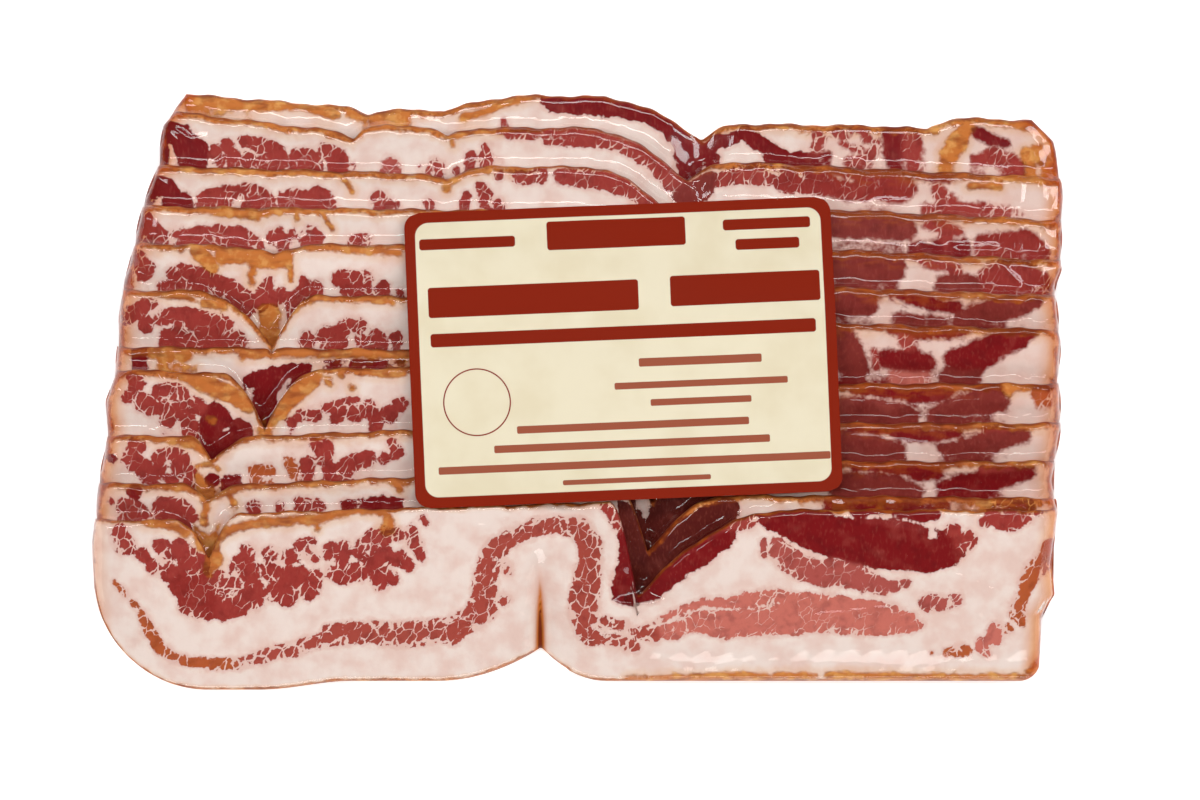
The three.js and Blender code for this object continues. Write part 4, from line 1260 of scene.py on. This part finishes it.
# %% Stains beside the brown rims
stain = add_node(meat, "MapRange", (rim_wander, 2.4, 1.0), **SMOOTH)
in_stain = add_node(meat, "MapRange", (streaks, 0.4, 0.65, 0, 0.45), **SMOOTH)
stain = add_node(meat, "Math", (stain, in_stain), **TIMES)
stain = add_node(meat, "Math", (stain, rim_brown), **TIMES)
colour = add_node(meat, "Mix", (stain, colour, RIM_ORANGE), **COLOURS)

# %% Dark lines
# One runs along the very edge, and a broken one round each smoked bulge.
edge_line = add_node(meat, "MapRange", (rim, 0.62, 0.2, 0, 0.75), **SMOOTH)
in_line = add_node(meat, "MapRange", (streaks, 0.3, 0.55), **SMOOTH)
edge_line = add_node(meat, "Math", (edge_line, in_line), **TIMES)
round_bulge = add_node(meat, "MapRange", (smoke_wander, 0.5, -0.1, 0, 0.525), **SMOOTH)
specks = add_node(meat, "MapRange", (fine, 0.45, 0.6), **SMOOTH)
round_bulge = add_node(meat, "Math", (round_bulge, specks), **TIMES)
round_bulge = add_node(meat, "Math", (round_bulge, is_smoked), **TIMES)
dark_line = add_node(meat, "Math", (edge_line, round_bulge), **HIGHER)
colour = add_node(meat, "Mix", (dark_line, colour, RIM_BROWN), **COLOURS)

# %% Crease and tanned ends
END_TAN = linear("#EFAF6E")

by_crease = add_node(meat, "MapRange", (crease, 0.05, 0.5), **SMOOTH)
colour = add_node(meat, "Mix", (by_crease, colour, SMOKE_TAN), **COLOURS)
in_crease = add_node(meat, "MapRange", (crease, 0.45, 0.7), **SMOOTH)
colour = add_node(meat, "Mix", (in_crease, colour, RIM_BROWN), **COLOURS)
colour = add_node(meat, "Mix", (end_tan, colour, END_TAN), blend_type="MULTIPLY", **COLOURS)

# %% Surface of the meat
# The film on it carries the gloss, so the meat itself is dull.
grain = add_node(meat, "Bump", {"Height": fine, "Strength": 0.35, "Distance": 0.25 * MM})
skin = add_node(meat, "BsdfPrincipled", {
    "Base Color": colour, "Roughness": 0.5, "IOR": 1.4, "Specular IOR Level": 0.15, "Normal": grain})
add_node(meat, "OutputMaterial", {"Surface": skin})
for piece in slices:
    piece.data.materials.append(meat)
print("nodes in the meat:", len(meat.node_tree.nodes))

# %% [markdown]
# ## Vacuum film
#
# The bag is clear nylon and polythene film, under a tenth of a millimetre thick, rolled smooth. It
# bends no light, so a glass shader would be wrong. It is a see-through surface with a gloss on top
# that is strongest at a flat angle, and Layer Weight gives that share. The folds that catch the
# light are in the mesh.

# %% Vacuum film
# The share of gloss seen straight on, and what is added to it at a flat angle.
GLOSS_FACING = 0.04
GLOSS_ADDED = 0.9

film_plastic = start_material("clear_nylon_film")
facing = add_node(film_plastic, "LayerWeight", {"Blend": 0.5}, out="Facing")
grazing = add_node(film_plastic, "Math", (facing, 5.0), operation="POWER")
gloss_share = add_node(film_plastic, "Math", (grazing, GLOSS_ADDED, GLOSS_FACING), **SCALED)
clear = add_node(film_plastic, "BsdfTransparent")
gloss = add_node(film_plastic, "BsdfGlossy", {"Roughness": 0.09})
surface = add_node(film_plastic, "MixShader", (gloss_share, clear, gloss))
add_node(film_plastic, "OutputMaterial", {"Surface": surface})
film.data.materials.append(film_plastic)
print("nodes in the film:", len(film_plastic.node_tree.nodes))

# %% [markdown]
# ## Printed paper
#
# The label is uncoated cream paper, printed in one rust-red ink: a border with rounded inner
# corners, plain bars and a thin ring. An image could be laid on it, but boxes worked out in the
# label's own millimetres stay sharp at any distance.

# %% Sizes of the print
BORDER = 2.5
INNER_CORNER = 3.2

# Each bar as its centre and half-sizes in mm, from the label's middle.
BARS = [
    (-36.0, 27.4, 11.4, 1.3),
    (-0.5, 28.3, 16.5, 3.4),
    (35.4, 29.2, 10.4, 1.3),
    (35.4, 24.4, 7.6, 1.3),
    (-20.8, 13.6, 25.0, 3.6),
    (29.6, 14.0, 17.8, 3.6),
    (0.2, 4.6, 45.8, 1.6),
]
BAR_CORNER = 0.7
SMALL_BARS = [
    (18.2, -2.6, 14.6, 1.0),
    (18.2, -8.0, 20.6, 0.8),
    (18.0, -12.2, 12.0, 0.8),
    (1.6, -17.4, 27.6, 0.9),
    (1.2, -21.8, 32.8, 0.9),
    (1.6, -26.4, 46.6, 0.9),
    (2.0, -30.4, 17.6, 0.6),
]
SMALL_CORNER = 0.4
RING_CENTRE = (-35.2, -10.4, 0)
RING_RADIUS = 7.9
RING_LINE = 0.22

# %% Distances on the label
paper = start_material("printed_cream_paper")
across, up = [add_node(paper, "Attribute", out="Fac", attribute_name=name)
              for name in ("label_u", "label_v")]
flat = add_node(paper, "CombineXYZ", (across, up))


def box_distance(box, corner):
    """Distance from a box with rounded corners, in mm and below zero inside it."""
    x, y, half_x, half_y = box
    away = add_node(paper, "VectorMath", (flat, (x, y, 0)), **MINUS)
    away = add_node(paper, "VectorMath", (away,), operation="ABSOLUTE")
    away = add_node(paper, "VectorMath", (away, (half_x - corner, half_y - corner, 0)), **MINUS)
    away = add_node(paper, "VectorMath", (away, (0, 0, 0)), **HIGHER)
    length = add_node(paper, "VectorMath", (away,), operation="LENGTH")
    return add_node(paper, "Math", (length, corner), **MINUS)


def nearest(boxes, corner):
    """Distance from the nearest of some boxes."""
    found = box_distance(boxes[0], corner)
    for box in boxes[1:]:
        found = add_node(paper, "Math", (found, box_distance(box, corner)), **LOWER)
    return found


# %% Shares of ink
inner_field = (0, 0, LABEL_WIDTH / 2 - BORDER, LABEL_HEIGHT / 2 - BORDER)
in_border = add_node(paper, "MapRange", (box_distance(inner_field, INNER_CORNER), -0.08, 0.08), **SMOOTH)
in_bars = add_node(paper, "MapRange", (nearest(BARS, BAR_CORNER), 0.06, -0.06), **SMOOTH)
in_small = add_node(paper, "MapRange", (nearest(SMALL_BARS, SMALL_CORNER), 0.06, -0.06), **SMOOTH)
from_ring = add_node(paper, "VectorMath", (flat, RING_CENTRE), operation="DISTANCE")
from_ring = add_node(paper, "Math", (from_ring, RING_RADIUS), **MINUS)
from_ring = add_node(paper, "Math", (from_ring,), operation="ABSOLUTE")
in_ring = add_node(paper, "MapRange", (from_ring, RING_LINE, RING_LINE - 0.12), **SMOOTH)
is_inked = add_node(paper, "Math", (in_bars, in_border), **HIGHER)

# %% Paper and ink
PAPER = linear("#EDE2C6")
PAPER_SHADE = linear("#E6D9BA")
INK = linear("#88210A")
INK_FAINT = linear("#A0563F")
CLOUD = 14
GRAIN = 0.5

on_paper = add_node(paper, "TexCoord", out="Object")
cloud = add_node(paper, "TexNoise", {"Vector": on_paper, "Scale": 1 / (CLOUD * MM), "Detail": 3})
is_shaded = add_node(paper, "MapRange", (cloud, 0.35, 0.7), **SMOOTH)
print_colour = add_node(paper, "Mix", (is_shaded, PAPER, PAPER_SHADE), **COLOURS)
print_colour = add_node(paper, "Mix", (in_small, print_colour, INK_FAINT), **COLOURS)
print_colour = add_node(paper, "Mix", (is_inked, print_colour, INK), **COLOURS)
print_colour = add_node(paper, "Mix", (in_ring, print_colour, INK), **COLOURS)
paper_grain = add_node(paper, "TexNoise", {"Vector": on_paper, "Scale": 1 / (GRAIN * MM), "Detail": 2})
relief = add_node(paper, "Bump", {"Height": paper_grain, "Strength": 0.15, "Distance": 0.05 * MM})
sheet = add_node(paper, "BsdfPrincipled", {
    "Base Color": print_colour, "Roughness": 0.6, "IOR": 1.45, "Specular IOR Level": 0.08,
    "Normal": relief})
add_node(paper, "OutputMaterial", {"Surface": sheet})
label.data.materials.append(paper)
print("nodes in the paper:", len(paper.node_tree.nodes))

# %% [markdown]
# ## What rides and what is replaced
#
# The pack has no moving parts. The slices and the film stand for the solid of the filled bag, and
# the fine label for the plain one.

# %% Tie the pieces to the frame
for piece in [*slices, film]:
    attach(piece, "root")
    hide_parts("vacuum_bag")
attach(label, "root")
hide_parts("label")

# %% [markdown]
# ## Floor, light and camera
#
# The pack lies on a white table and is seen from straight above through a long lens. One wide light
# would lay a milky sheet over the film. So the lights are narrow strips, behind, on both sides and
# low in front, where the film, which tilts about 20 degrees to the front, mirrors them only on its
# folds and on the slices' edges.

# %% Floor
white_table = start_material("white_table")
on_table = add_node(white_table, "TexCoord", out="Object")
table_cloud = add_node(white_table, "TexNoise", {"Vector": on_table, "Scale": 1 / (40 * MM), "Detail": 2})
table_colour = add_node(white_table, "Mix", (table_cloud, linear("#FBFBFB"), linear("#FFFFFF")), **COLOURS)
table_top = add_node(white_table, "BsdfPrincipled", {
    "Base Color": table_colour, "Roughness": 0.9, "Emission Color": (1, 1, 1, 1),
    "Emission Strength": 0.6})
add_node(white_table, "OutputMaterial", {"Surface": table_top})

deselect_all()
bpy.ops.mesh.primitive_plane_add(size=6)
floor = bpy.context.object
floor.name = "floor"
floor.data.materials.append(white_table)

# %% Room
# Its ceiling is dim and its walls are bright, so that flat film mirrors little light.
ROOM_WALLS = 0.8
ROOM_CEILING = 0.04

room = bpy.data.worlds.new("soft_room")
room.use_nodes = True
direction = add_node(room, "TexCoord", out="Generated")
height = add_node(room, "SeparateXYZ", (direction,), out="Z")
strength = add_node(room, "MapRange", (height, 0.35, 0.9, ROOM_WALLS, ROOM_CEILING))
background = room.node_tree.nodes["Background"]
room.node_tree.links.new(strength, background.inputs["Strength"])
bpy.context.scene.world = room

# %% Lights
# Each as its name, its place in metres, its two sides in metres, and its power in watts.
SOFTBOXES = [
    ("rear_softbox", (0.1, 0.55, 1.25), (1.3, 0.25), 10.5),
    ("right_softbox", (1.2, 0.1, 1.1), (0.22, 1.2), 10),
    ("left_softbox", (-1.2, 0.0, 1.1), (0.22, 1.2), 10),
    ("front_softbox", (0.0, -1.4, 0.42), (1.4, 0.4), 8),
]

for name, spot, sides, power in SOFTBOXES:
    bpy.ops.object.light_add(type="AREA", location=spot)
    lamp = bpy.context.object
    lamp.name = name
    lamp.data.shape = "RECTANGLE"
    lamp.data.size, lamp.data.size_y = sides
    lamp.data.energy = power
    lamp.rotation_euler = (-lamp.location).to_track_quat("-Z", "Y").to_euler()

# %% Camera
VIEW_WIDTH = 286.2
VIEW_CENTRE = (5.8, -1.8)
LENS = 300
SENSOR = 36
MEAN_HEIGHT = 12

camera_height = VIEW_WIDTH * LENS / SENSOR + MEAN_HEIGHT
bpy.ops.object.camera_add(location=(VIEW_CENTRE[0] * MM, VIEW_CENTRE[1] * MM, camera_height * MM))
camera = bpy.context.object
camera.data.lens = LENS
camera.data.sensor_width = SENSOR
camera.data.clip_start = 0.05
bpy.context.scene.camera = camera
bpy.context.scene.view_settings.view_transform = "Standard"
